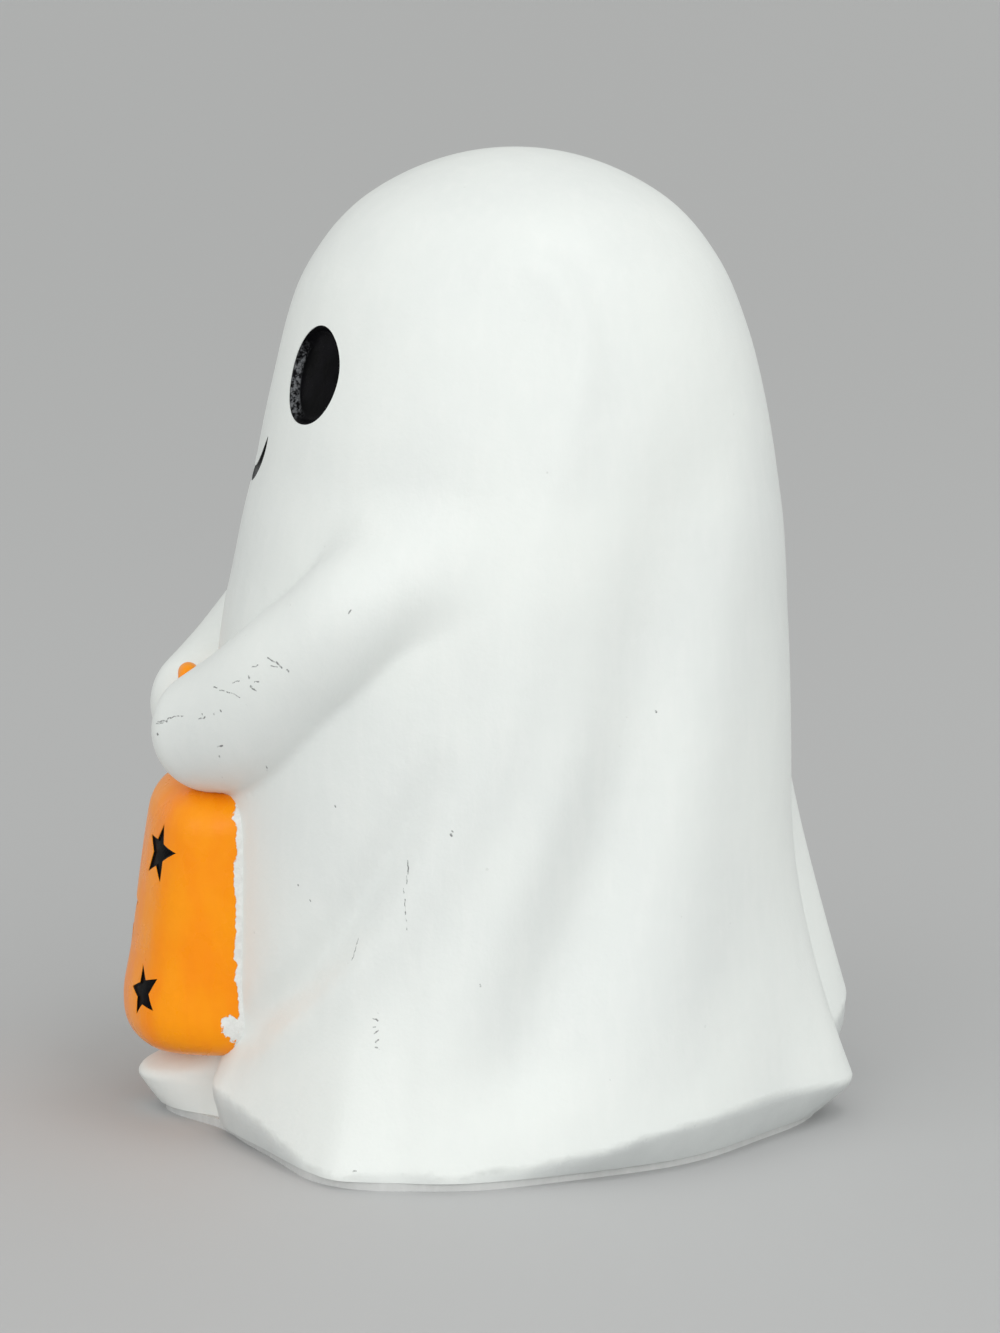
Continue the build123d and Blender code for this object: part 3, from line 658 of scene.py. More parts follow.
# ---------------------------------------------------------------- recesses of the face
def hit_skin(P, direction, f=f_union, reach=14.0):
    """Moves points along one direction onto the surface, from outside."""
    d = np.array(direction, float)
    d /= np.linalg.norm(d)
    lo, hi = np.full(len(P), -reach), np.full(len(P), reach)
    for _ in range(34):
        m = (lo + hi) / 2
        inside = f(P + m[:, None] * d) < 0
        hi = np.where(inside, m, hi)
        lo = np.where(inside, lo, m)
    return P + ((lo + hi) / 2)[:, None] * d


EYE_X, EYE_Z, EYE_W, EYE_H, EYE_TURN = 28.0, 179.3, 20.0, 23.2, 31.0
EYE_FLOOR, EYE_POCKET = 2.0, 3.4


def eye_frame(s):
    a = math.radians(EYE_TURN)
    n = np.array([s * math.sin(a), -math.cos(a), 0.16])
    n /= np.linalg.norm(n)
    u = np.array([s * math.cos(a), math.sin(a), 0.0])
    v = np.cross(n, u)
    v *= np.sign(v[2])
    return np.array([s * EYE_X, -45.0, EYE_Z]), u, v, n


def eye_disc(s, grow, rings, seg):
    """Skin points of an eye's oval: centre, then rings outwards."""
    c, u, v, n = eye_frame(s)
    a = np.arange(seg) * 2 * np.pi / seg
    wob = 1 + 0.010 * np.sin(2 * a + 0.7) + 0.008 * np.sin(3 * a + 2.1 + s) + 0.005 * np.sin(5 * a + 0.4)
    pts = [c[None]]
    for r in rings:
        ru, rv = (EYE_W / 2 * r + grow * r) * wob, (EYE_H / 2 * r + grow * r) * wob
        pts.append(c + (ru * np.cos(a))[:, None] * u + (rv * np.sin(a))[:, None] * v)
    return hit_skin(np.vstack(pts), -n), n


def disc_solid(name, top, bottom, rings, seg, flip):
    faces = []
    nt = len(top)

    def idx(r, i):
        return 0 if r == 0 else 1 + (r - 1) * seg + i % seg
    for i in range(seg):
        faces.append([idx(0, 0), idx(1, i), idx(1, i + 1)])
        faces.append([nt, nt + idx(1, i + 1), nt + idx(1, i)])
        for r in range(1, rings):
            faces.append([idx(r, i), idx(r + 1, i), idx(r + 1, i + 1), idx(r, i + 1)])
            faces.append([nt + idx(r, i), nt + idx(r, i + 1), nt + idx(r + 1, i + 1), nt + idx(r + 1, i)])
        faces.append([idx(rings, i), nt + idx(rings, i), nt + idx(rings, i + 1), idx(rings, i + 1)])
    if flip:
        faces = [f[::-1] for f in faces]
    return make_object(name, np.vstack([top, bottom]), faces)


EYE_RINGS = np.concatenate([np.linspace(0.12, 0.80, 8), [0.85, 0.89, 0.92, 0.945, 0.965, 0.98, 0.992, 1.0]])


def eye_piece(s, name):
    rings, seg = EYE_RINGS, 128
    P, n = eye_disc(s, -0.02, rings, seg)
    r = np.concatenate([[0], np.repeat(rings, seg)])
    depth = 0.12 + (EYE_FLOOR - 0.12) * (1 - smooth(0.84, 1.0, r) ** 1.3) + 0.35 * (1 - (r / 0.84) ** 2).clip(0, 1)
    ob = disc_solid(name, P - depth[:, None] * n, P - (EYE_POCKET - 0.02) * n, len(rings), seg, s < 0)
    return ob


def eye_cutter(s):
    P, n = eye_disc(s, 0.0, np.array([0.35, 0.7, 1.0]), 128)
    return disc_solid("cut_eye", P + 3.0 * n, P - EYE_POCKET * n, 3, 128, s < 0)


MOUTH_HALF, MOUTH_TOP, MOUTH_LOW, MOUTH_T = 12.0, 163.0, 152.8, 3.6


def mouth_strip(grow, across):
    """Skin points along the smile: rows along the arc, columns across the stroke."""
    sag = MOUTH_TOP - MOUTH_LOW
    R = (MOUTH_HALF ** 2 + sag ** 2) / (2 * sag)
    half = math.asin(MOUTH_HALF / R)
    t = np.linspace(-1, 1, 61)
    a = t * half
    w = (0.34 + (MOUTH_T / 2 - 0.34) * (1 - np.abs(t) ** 5)) + grow
    pts = []
    for ti, ai, wi in zip(t, a, w):
        for c in across:
            rr = R + c * wi
            pts.append((rr * math.sin(ai), -50.0, MOUTH_LOW + R - rr * math.cos(ai)))
    n = np.array([0, -1.0, 0.12])
    n /= np.linalg.norm(n)
    return hit_skin(np.array(pts), -n), n


def strip_solid(name, top, bottom, rows, cols):
    n = rows * cols

    def i(r, c):
        return r * cols + c
    faces = []
    for r in range(rows - 1):
        for c in range(cols - 1):
            faces.append([i(r, c), i(r, c + 1), i(r + 1, c + 1), i(r + 1, c)])
            faces.append([n + i(r, c), n + i(r + 1, c), n + i(r + 1, c + 1), n + i(r, c + 1)])
        faces.append([i(r, 0), i(r + 1, 0), n + i(r + 1, 0), n + i(r, 0)])
        faces.append([i(r + 1, cols - 1), i(r, cols - 1), n + i(r, cols - 1), n + i(r + 1, cols - 1)])
    for c in range(cols - 1):
        faces.append([i(0, c + 1), i(0, c), n + i(0, c), n + i(0, c + 1)])
        faces.append([i(rows - 1, c), i(rows - 1, c + 1), n + i(rows - 1, c + 1), n + i(rows - 1, c)])
    return make_object(name, np.vstack([top, bottom]), faces)


def outward(ob):
    """Makes a closed mesh's faces look outwards."""
    bm = bmesh.new()
    bm.from_mesh(ob.data)
    bmesh.ops.recalc_face_normals(bm, faces=bm.faces)
    bm.to_mesh(ob.data)
    bm.free()
    return ob


MOUTH_POCKET = 2.2
P, n = mouth_strip(0.0, np.linspace(-1, 1, 3))
mouth_cut = outward(strip_solid("cut_mouth", P + 3.0 * n, P - MOUTH_POCKET * n, 61, 3))
cols = np.linspace(-1, 1, 9)
P, n = mouth_strip(-0.02, cols)
sink = 0.10 + 0.45 * (1 - np.tile(np.abs(cols), 61) ** 2.5)
mouth = outward(strip_solid("ghost_mouth", P - sink[:, None] * n, P - (MOUTH_POCKET - 0.02) * n, 61, 9))
left_eye = outward(eye_piece(1, "ghost_left_eye"))
right_eye = outward(eye_piece(-1, "ghost_right_eye"))


# hollow of the casting, and the straight seat for the base plate's lip
def hollow_cutter():
    lev = np.concatenate([[-1.0, 8.0, 14.0], np.arange(20, 205, 8.0), [208, 213, 217, 220, 222]])
    ang = np.arange(0, 360, 6.0)
    rows = []
    for z in lev:
        zz = max(z, 14.0)
        top = FLARE_Z(ang)
        t = np.clip((top - zz) / (top - HEM_Z(ang)), 0, 1.15)
        base = plain_k(ang, 0.0) * half_width(0.0)
        r = plain_k(ang, zz) * half_width(zz) - 7.0 + 0.55 * (HEM_R(ang) - base) * t ** FLARE_P(ang)
        a = np.radians(ang)
        rows.append(np.stack([r * np.cos(a), CENTRE_Y(zz) + r * np.sin(a), np.full(len(a), z)], 1))
    n = len(ang)
    W = np.vstack(rows + [rows[0].mean(0)[None], rows[-1].mean(0)[None]])
    faces = []
    for r in range(len(lev) - 1):
        for i in range(n):
            j = (i + 1) % n
            faces.append([r * n + i, r * n + j, (r + 1) * n + j, (r + 1) * n + i])
    b, t = len(W) - 2, len(W) - 1
    for i in range(n):
        j = (i + 1) % n
        faces.append([b, j, i])
        faces.append([t, (len(lev) - 1) * n + i, (len(lev) - 1) * n + j])
    return make_object("cut_hollow", W, faces)


carve(body, [hollow_cutter(), outward(eye_cutter(1)), outward(eye_cutter(-1)), mouth_cut])
for ob in (body, left_arm, right_arm):
    set_skin_normals(ob, f_union)


def point_value(ob, name, values):
    ob.data.attributes.new(name, "FLOAT", "POINT").data.foreach_set("value", np.asarray(values, np.float32))


# how far a point lies on the undercut foot below the hem's edge: the mask for painted shade there
P = np.empty(len(body.data.vertices) * 3)
body.data.vertices.foreach_get("co", P)
P = P.reshape(-1, 3) * 1000
deg = np.degrees(np.arctan2(P[:, 1] - CENTRE_Y(P[:, 2]), P[:, 0]))
point_value(body, "foot", smooth(-0.2, 0.6, HEM_Z(deg) - P[:, 2]) * np.clip(FOOT_IN(deg) / 2.0, 0, 1)
            * np.where(deg < 0, smooth(-79, -72, deg), 1.0))
# the front wall of an eye's hollow, where a lighter grey painted sheen goes
for ob in (left_eye, right_eye):
    r = np.concatenate([[0], np.repeat(EYE_RINGS, 128)])
    a = np.concatenate([[0], np.tile(np.arange(128) * 2 * np.pi / 128, len(EYE_RINGS))])
    w = smooth(0.80, 0.90, r) * (1 - smooth(0.975, 1.0, r)) * smooth(0.45, 0.95, -np.cos(a - 0.2))
    point_value(ob, "wall", np.concatenate([w, np.zeros(len(w))]))

# ---------------------------------------------------------------- bag
BAG_HALF = 30.5
BAG_FRONT = along([(14, -88.0), (20, -90.2), (28, -90.8), (40, -88.9), (55, -87.0), (70, -84.8), (82, -82.6)])


def bag_front(x, z):
    return BAG_FRONT(z) + 8.5 * (np.abs(x) / BAG_HALF) ** 2.0


def f_bag_form(P):
    x, y, z = P[:, 0], P[:, 1], P[:, 2]
    side_d = np.abs(x) - (BAG_HALF + 0.5 * np.sin((z - 17) / 64 * np.pi))
    front_d = (bag_front(x, z) - y) * 0.88
    d = soft_max(side_d, front_d, 11.0)
    d = soft_max(d, z - (82.5 - 0.0016 * x * x), 9.0)
    d = soft_max(d, (17.0 + 0.0022 * x * x) - z, 9.0)
    return np.maximum(d, y + 60.0)


def f_bag(P):
    """The bag, let a little way into the body and the hands."""
    return np.maximum(f_bag_form(P), -0.9 - f_union(P))


F, low = grid_field(f_bag, (-34.0, -94.0, 13.0), (34.0, -55.0, 86.0), 0.85)
Vb, Qb = nets(F, low, 0.85)
touch = f_union(Vb) < -0.4
Vb[~touch] = onto(f_bag_form, Vb[~touch])
Vb = relax(f_bag_form, Vb, Qb, 3, touch)
bag = make_object("treat_bag_shell", Vb, Qb)
STARS = [(-19.5, 64.0, 7.0, 10), (18.5, 66.5, 7.4, -8), (-2.0, 49.0, 8.6, 4), (-17.0, 32.5, 7.2, -14), (20.0, 33.5, 6.6, 20)]


def star_form(x, z, size, turn, grow, near, far, sub, sunk=0.0):
    """A five-point star whose face follows the bag's front."""
    bm = bmesh.new()
    ring = []
    for k in range(10):
        r = (size if k % 2 == 0 else size * 0.46) * (1 + 0.05 * math.sin(3.7 * k + x)) + grow
        a = math.radians(90 + turn + 36 * k + 2.0 * math.sin(2.3 * k + z))
        ring.append(bm.verts.new((x + r * math.cos(a), 0, z + r * math.sin(a))))
    mid = bm.verts.new((x, 0, z))
    for k in range(10):
        bm.faces.new((mid, ring[k], ring[(k + 1) % 10]))
    bmesh.ops.subdivide_edges(bm, edges=bm.edges[:], cuts=sub, use_grid_fill=True)
    bm.verts.index_update()
    P = np.array([v.co[:] for v in bm.verts])
    tri = [[v.index for v in f.verts] for f in bm.faces]
    rim = set()
    for e in bm.edges:
        if len(e.link_faces) == 1:
            rim.update(v.index for v in e.verts)
    rim_edges = [[v.index for v in e.verts] for e in bm.edges if len(e.link_faces) == 1]
    bm.free()
    P[:, 1] = bag_front(P[:, 0], P[:, 2])
    S = hit_skin(P, (0, 1, 0), f_bag_form, 8.0)
    on = np.array([i in rim for i in range(len(P))])
    S0, S1 = S.copy(), S.copy()
    S0[:, 1] += near + np.where(on, 0.0, sunk)
    S1[:, 1] += far
    n = len(S)
    faces = tri + [[n + i for i in f][::-1] for f in tri]
    faces += [[a, b, n + b, n + a] for a, b in rim_edges]
    return np.vstack([S0, S1]), faces


cutters, SV, SF = [], [], []
for st in STARS:
    W, fs = star_form(*st, 0.0, -3.0, 1.4, 2)
    cutters.append(outward(make_object("cut_star", W, fs)))
    W, fs = star_form(*st, -0.03, 0.15, 1.38, 4, 0.35)
    SF += [[len(np.vstack(SV)) + i if SV else i for i in f] for f in fs]
    SV.append(W)
carve(bag, cutters)
set_skin_normals(bag, f_bag_form, 0.3)
stars = outward(make_object("bag_star_inlays", np.vstack(SV), SF, False))

# ---------------------------------------------------------------- materials
def new_material(name):
    m = bpy.data.materials.new(name)
    m.use_nodes = True
    nt = m.node_tree
    bsdf = nt.nodes["Principled BSDF"]
    return m, nt, bsdf


class Graph:
    """Short hand for building a material's nodes; lengths inside it are millimetres."""

    def __init__(self, nt):
        self.nt = nt
        co = nt.nodes.new("ShaderNodeTexCoord")
        self.p = self.vec("SCALE", co.outputs["Object"], scale=1000.0)

    def put(self, socket, value):
        if isinstance(value, bpy.types.NodeSocket):
            self.nt.links.new(value, socket)
        else:
            socket.default_value = value

    def math(self, op, a, b=0.0, c=0.0, clamp=False):
        n = self.nt.nodes.new("ShaderNodeMath")
        n.operation, n.use_clamp = op, clamp
        for s, v in zip(n.inputs, (a, b, c)):
            self.put(s, v)
        return n.outputs[0]

    def vec(self, op, a, b=(0, 0, 0), scale=1.0):
        n = self.nt.nodes.new("ShaderNodeVectorMath")
        n.operation = op
        self.put(n.inputs[0], a)
        if op == "SCALE":
            self.put(n.inputs["Scale"], scale)
        else:
            self.put(n.inputs[1], b)
        return n.outputs["Value"] if op in ("LENGTH", "DISTANCE", "DOT_PRODUCT") else n.outputs["Vector"]

    def noise(self, size, detail=3.0, rough=0.5, at=None, colour=False):
        """Noise with features of about the given size."""
        n = self.nt.nodes.new("ShaderNodeTexNoise")
        self.put(n.inputs["Vector"], self.p if at is None else at)
        n.inputs["Scale"].default_value = 1.0 / size
        n.inputs["Detail"].default_value = detail
        n.inputs["Roughness"].default_value = rough
        return n.outputs["Color"] if colour else n.outputs["Fac"]

    def ramp(self, v, a, b, lo=0.0, hi=1.0):
        """Smooth step of v from a to b, given out as lo to hi."""
        n = self.nt.nodes.new("ShaderNodeMapRange")
        n.interpolation_type = "SMOOTHSTEP"
        self.put(n.inputs["Value"], v)
        n.inputs["From Min"].default_value, n.inputs["From Max"].default_value = a, b
        n.inputs["To Min"].default_value, n.inputs["To Max"].default_value = lo, hi
        return n.outputs["Result"]

    def mix(self, f, a, b):
        n = self.nt.nodes.new("ShaderNodeMix")
        n.data_type = "RGBA"
        self.put(n.inputs["Factor"], f)
        self.put(n.inputs[6], a)
        self.put(n.inputs[7], b)
        return n.outputs[2]

    def split(self, v):
        n = self.nt.nodes.new("ShaderNodeSeparateXYZ")
        self.put(n.inputs[0], v)
        return n.outputs

    def bump(self, height):
        n = self.nt.nodes.new("ShaderNodeBump")
        n.inputs["Strength"].default_value = 1.0
        n.inputs["Distance"].default_value = 0.001
        self.put(n.inputs["Height"], height)
        return n.outputs["Normal"]

    def point(self, name):
        n = self.nt.nodes.new("ShaderNodeAttribute")
        n.attribute_name = name
        return n.outputs["Fac"]

    def specks(self, cell, share, size):
        """Scattered round spots: 1 inside a spot."""
        n = self.nt.nodes.new("ShaderNodeTexVoronoi")
        self.put(n.inputs["Vector"], self.p)
        n.inputs["Scale"].default_value = 1.0 / cell
        col = self.split(n.outputs["Color"])
        r = self.math("MULTIPLY_ADD", col[1], size / cell, 0.4 * size / cell)
        inside = self.math("SUBTRACT", 1.0, self.math("DIVIDE", n.outputs["Distance"], r), clamp=True)
        return self.math("MULTIPLY", self.ramp(inside, 0.0, 0.5), self.math("LESS_THAN", col[0], share))

    def marks(self, lines, grow=1.0):
        """Short scratches given by their ends and half width: 1 on a scratch."""
        shake = self.vec("SCALE", self.vec("SUBTRACT", self.noise(1.3, 2.0, colour=True), (0.5, 0.5, 0.5)), scale=0.9)
        at = self.vec("ADD", self.p, shake)
        total = None
        for x0, y0, z0, x1, y1, z1, w in lines:
            g = self.nt.nodes.new("ShaderNodeGroup")
            g.node_tree = scratch_group
            ab = Vector((x1 - x0, y1 - y0, z1 - z0))
            self.put(g.inputs["At"], at)
            g.inputs["From"].default_value = (x0, y0, z0)
            g.inputs["Run"].default_value = ab
            g.inputs["Inverse"].default_value = 1.0 / max(ab.length_squared, 1e-4)
            g.inputs["Wide"].default_value = w * grow
            total = g.outputs[0] if total is None else self.math("MAXIMUM", total, g.outputs[0])
        broken = self.ramp(self.noise(0.6, 3.0), 0.36, 0.56, 0.45, 1.0)
        return self.math("MULTIPLY", total, broken)


def make_scratch_group():
    t = bpy.data.node_groups.new("scratch", "ShaderNodeTree")
    for name, kind in (("At", "NodeSocketVector"), ("From", "NodeSocketVector"), ("Run", "NodeSocketVector"),
                       ("Inverse", "NodeSocketFloat"), ("Wide", "NodeSocketFloat")):
        t.interface.new_socket(name=name, in_out="INPUT", socket_type=kind)
    t.interface.new_socket(name="On", in_out="OUTPUT", socket_type="NodeSocketFloat")
    i, o = t.nodes.new("NodeGroupInput"), t.nodes.new("NodeGroupOutput")

    def vec(op, a, b=None, scale=None):
        n = t.nodes.new("ShaderNodeVectorMath")
        n.operation = op
        t.links.new(a, n.inputs[0])
        if b is not None:
            t.links.new(b, n.inputs[1])
        if scale is not None:
            t.links.new(scale, n.inputs["Scale"])
        return n.outputs["Value"] if op in ("LENGTH", "DOT_PRODUCT") else n.outputs["Vector"]

    def num(op, a, b, clamp=False):
        n = t.nodes.new("ShaderNodeMath")
        n.operation, n.use_clamp = op, clamp
        for s, v in zip(n.inputs, (a, b)):
            if isinstance(v, bpy.types.NodeSocket):
                t.links.new(v, s)
            else:
                s.default_value = v
        return n.outputs[0]

    v = vec("SUBTRACT", i.outputs["At"], i.outputs["From"])
    s = num("MULTIPLY", vec("DOT_PRODUCT", v, i.outputs["Run"]), i.outputs["Inverse"], True)
    d = vec("LENGTH", vec("SUBTRACT", v, vec("SCALE", i.outputs["Run"], scale=s)))
    on = num("MULTIPLY", num("SUBTRACT", 1.0, num("DIVIDE", d, i.outputs["Wide"])), 1.8, True)
    t.links.new(on, o.inputs["On"])
    return t


scratch_group = make_scratch_group()

# scratches and chips: both ends and half width, mm
HAND_MARKS = [
    (24.07, -81.95, 98.67, 27.77, -79.66, 99.66, 0.1), (23.48, -82.3, 98.1, 26.98, -80.24, 98.94, 0.09),
    (27.64, -79.66, 99.99, 30.48, -77.72, 100.99, 0.09), (30.77, -77.49, 101.11, 32.85, -76.13, 101.62, 0.08),
    (38.13, -72.54, 101.82, 39.88, -71.2, 102.41, 0.11), (38.93, -71.86, 103.11, 39.14, -71.73, 102.87, 0.09),
    (42.24, -69.22, 103.74, 42.44, -69.05, 103.65, 0.14), (43.88, -67.8, 104.58, 44.12, -67.57, 104.49, 0.14),
    (24.61, -82.06, 96.04, 25.09, -81.84, 95.74, 0.19), (40.93, -69.08, 109.76, 42.19, -68.32, 109.62, 0.1),
    (43.18, -67.77, 109.32, 46.39, -65.35, 109.26, 0.08), (46.39, -65.35, 109.26, 48.51, -63.38, 108.45, 0.08),
    (46.42, -64.99, 111.5, 48.04, -63.6, 112.1, 0.07), (50.22, -61.43, 113.56, 50.39, -61.3, 113.27, 0.18),
    (51.12, -60.6, 110.86, 51.74, -59.84, 110.45, 0.1), (50.81, -60.97, 111.39, 50.97, -60.8, 111.25, 0.12),
    (51.54, -60.15, 112.37, 52.3, -59.27, 112.76, 0.08), (50.56, -60.7, 115.65, 51.78, -59.44, 116.29, 0.07),
    (53.57, -57.23, 118.39, 55.39, -55.39, 117.41, 0.08), (55.45, -55.3, 117.51, 55.67, -55.04, 117.22, 0.17),
    (54.49, -56.49, 116.7, 55.67, -55.07, 116.43, 0.08), (56.09, -54.48, 116.65, 56.26, -54.22, 116.4, 0.17),
    (55.65, -55.07, 117.22, 56.21, -54.31, 116.5, 0.1), (56.98, -52.99, 115.91, 57.13, -52.73, 115.79, 0.14),
    (63.16, -39.35, 129.59, 63.18, -38.96, 130.44, 0.11), (41.3, -68.34, 95.77, 42.34, -67.33, 96.28, 0.1),
    (40.27, -68.06, 93.57, 40.14, -67.97, 93.22, 0.12), (43.71, -57.49, 91.63, 42.59, -57.24, 90.24, 0.08),
    (42.08, -56.88, 89.44, 41.32, -56.53, 87.89, 0.09), (35.83, -67.16, 87.7, 34.95, -66.8, 86.82, 0.09),
    (49.49, -62.06, 106.88, 49.78, -61.62, 106.69, 0.07)]
BODY_MARKS = [
    (64.02, -26.5, 73.24, 65.1, -26.47, 70.48, 0.11), (64.98, -26.78, 70.0, 65.57, -26.76, 68.29, 0.08),
    (66.12, -27.28, 64.74, 66.7, -27.19, 61.64, 0.08), (66.85, -27.07, 60.75, 67.11, -26.87, 58.04, 0.07),
    (65.24, -27.51, 67.31, 65.63, -27.42, 66.24, 0.07), (59.23, -37.39, 54.57, 60.45, -38.95, 49.77, 0.08),
    (65.95, -34.46, 37.44, 66.48, -33.58, 37.09, 0.1), (65.96, -33.88, 38.7, 66.21, -33.45, 38.53, 0.08),
    (66.85, -34.41, 34.18, 67.13, -33.52, 34.81, 0.1), (67.53, -34.23, 32.26, 67.74, -33.48, 32.83, 0.09),
    (67.91, -34.08, 31.31, 68.41, -33.39, 30.82, 0.09), (66.36, -34.6, 35.57, 66.51, -34.16, 35.83, 0.07),
    (49.47, -54.86, 22.71, 50.01, -54.52, 22.75, 0.11), (52.38, -52.91, 23.13, 52.98, -52.47, 23.28, 0.11),
    (56.8, -49.88, 23.46, 57.4, -49.54, 23.28, 0.09), (67.41, -41.25, 22.04, 67.62, -41.12, 21.76, 0.14),
    (67.4, -39.33, 25.02, 67.47, -39.06, 25.26, 0.1), (38.89, -61.83, 11.79, 39.18, -61.7, 11.63, 0.11),
    (52.15, -56.93, 12.47, 52.6, -56.77, 12.33, 0.16), (63.02, -51.94, 7.4, 63.49, -51.64, 7.39, 0.1),
    (69.45, -47.24, 6.08, 69.74, -47.03, 5.88, 0.14), (74.91, -39.64, 4.49, 75.11, -39.09, 4.49, 0.1),
    (68.51, -17.12, 80.09, 68.61, -16.91, 79.76, 0.14), (68.57, -16.68, 80.85, 68.64, -16.53, 80.59, 0.11),
    (57.6, 30.31, 105.64, 57.59, 30.5, 105.41, 0.14), (67.49, -34.12, 32.6, 67.8, -34.03, 31.75, 0.07),
    (50.94, -47.97, 61.73, 51.09, -47.8, 61.53, 0.1), (54.9, -42.31, 84.3, 55.04, -42.14, 84.09, 0.1),
    (48.38, -50.58, 64.72, 48.52, -50.45, 64.51, 0.1), (66.82, 7.72, 69.28, 66.69, 7.87, 69.02, 0.09),
    (72.2, 18.65, 23.78, 72.2, 18.87, 23.63, 0.1), (72.55, -10.85, 46.33, 72.56, -10.72, 46.09, 0.09)]


def white_glaze(name, marks=None, light=(0.80, 0.825, 0.805), shade=(0.755, 0.78, 0.768), rough=(0.44, 0.57)):
    m, nt, b = new_material(name)
    g = Graph(nt)
    cloud = g.ramp(g.noise(55, 3.0), 0.32, 0.68)
    brushed = g.noise(3.2, 4.0, 0.6, at=g.vec("MULTIPLY", g.p, (1.0, 1.0, 0.22)))
    col = g.mix(cloud, (*shade, 1), (*light, 1))
    col = g.mix(g.ramp(brushed, 0.42, 0.72, 0.0, 0.16), col, (0.86, 0.865, 0.85, 1))
    pits = g.specks(8.5, 0.34, 0.34)
    dots = g.specks(21.0, 0.30, 0.42)
    col = g.mix(g.math("MULTIPLY", pits, 0.16), col, (0.42, 0.42, 0.41, 1))
    col = g.mix(g.math("MULTIPLY", dots, 0.42), col, (0.20, 0.19, 0.18, 1))
    fine = g.noise(0.8, 4.0, 0.62)
    mid = g.noise(7.0, 3.0)
    height = g.math("ADD", g.math("MULTIPLY", fine, 0.045), g.math("MULTIPLY", mid, 0.22))
    height = g.math("ADD", height, g.math("MULTIPLY", brushed, 0.055))
    height = g.math("SUBTRACT", height, g.math("MULTIPLY", pits, 0.05))
    shine = g.math("ADD", g.ramp(fine, 0.3, 0.7, rough[0], rough[1]), g.ramp(g.noise(24, 3.0), 0.35, 0.65, -0.04, 0.05))
    # painted shade: the undercut foot below the hem's edge is greyed where it faces down
    painted_foot_shade = g.point("foot")
    col = g.mix(g.math("MULTIPLY", painted_foot_shade, g.ramp(mid, 0.3, 0.7, 0.32, 0.38)), col, (0.36, 0.375, 0.39, 1))
    if marks:
        on = g.marks(marks, 2.3)
        col = g.mix(g.math("MULTIPLY", on, 0.85), col, (0.085, 0.085, 0.09, 1))
        shine = g.math("ADD", shine, g.math("MULTIPLY", on, 0.25))
    g.put(b.inputs["Base Color"], col)
    g.put(b.inputs["Roughness"], shine)
    g.put(b.inputs["Normal"], g.bump(height))
    b.inputs["IOR"].default_value = 1.5
    b.inputs["Coat Weight"].default_value = 0.05
    b.inputs["Coat Roughness"].default_value = 0.28
    return m


def orange_glaze(name, bare=True):
    m, nt, b = new_material(name)
    g = Graph(nt)
    flow = g.noise(11.0, 3.0, at=g.vec("MULTIPLY", g.p, (1.0, 1.0, 0.45)))
    col = g.mix(g.ramp(flow, 0.34, 0.66), (0.98, 0.275, 0.0008, 1), (1.0, 0.325, 0.001, 1))
    fine = g.noise(0.7, 3.0)
    height = g.math("ADD", g.math("MULTIPLY", g.noise(6.0, 3.0), 0.28), g.math("MULTIPLY", fine, 0.012))
    shine = g.ramp(g.noise(9.0, 4.0), 0.3, 0.7, 0.24, 0.36)
    coat = 0.08
    b.inputs["Specular IOR Level"].default_value = 0.19
    if bare:
        x, y, z = g.split(g.p)
        ragged = g.noise(5.0, 5.0, 0.62)
        edge = g.math("MULTIPLY_ADD", ragged, 4.0, g.math("ADD", y, 64.5 - 2.0))
        wave = g.math("MULTIPLY_ADD", g.noise(26.0, 1.0), 1.6, -0.8)
        edge = g.math("ADD", edge, wave)
        chip = g.vec("DISTANCE", g.vec("MULTIPLY", g.p, (0.5, 1.0, 0.8)), (15.4, -65.6, 21.4))
        chip = g.math("MULTIPLY_ADD", ragged, 7.0, g.math("SUBTRACT", -1.3, chip))
        off = g.ramp(g.math("MAXIMUM", edge, chip), -0.12, 0.12)
        crumb = g.noise(1.6, 5.0, 0.68)
        white = g.mix(g.ramp(crumb, 0.35, 0.65), (0.74, 0.745, 0.73, 1), (0.82, 0.83, 0.815, 1))
        col = g.mix(off, col, white)
        height = g.math("SUBTRACT", height, g.math("MULTIPLY", off, 0.16))
        height = g.math("ADD", height, g.math("MULTIPLY", off, g.math("MULTIPLY", crumb, 0.14)))
        shine = g.math("MULTIPLY_ADD", off, 0.34, shine)
        g.put(b.inputs["Coat Weight"], g.math("MULTIPLY_ADD", off, -coat, coat))
    else:
        b.inputs["Coat Weight"].default_value = coat
    b.inputs["Coat Roughness"].default_value = 0.14
    g.put(b.inputs["Base Color"], col)
    g.put(b.inputs["Roughness"], shine)
    g.put(b.inputs["Normal"], g.bump(height))
    b.inputs["IOR"].default_value = 1.5
    return m


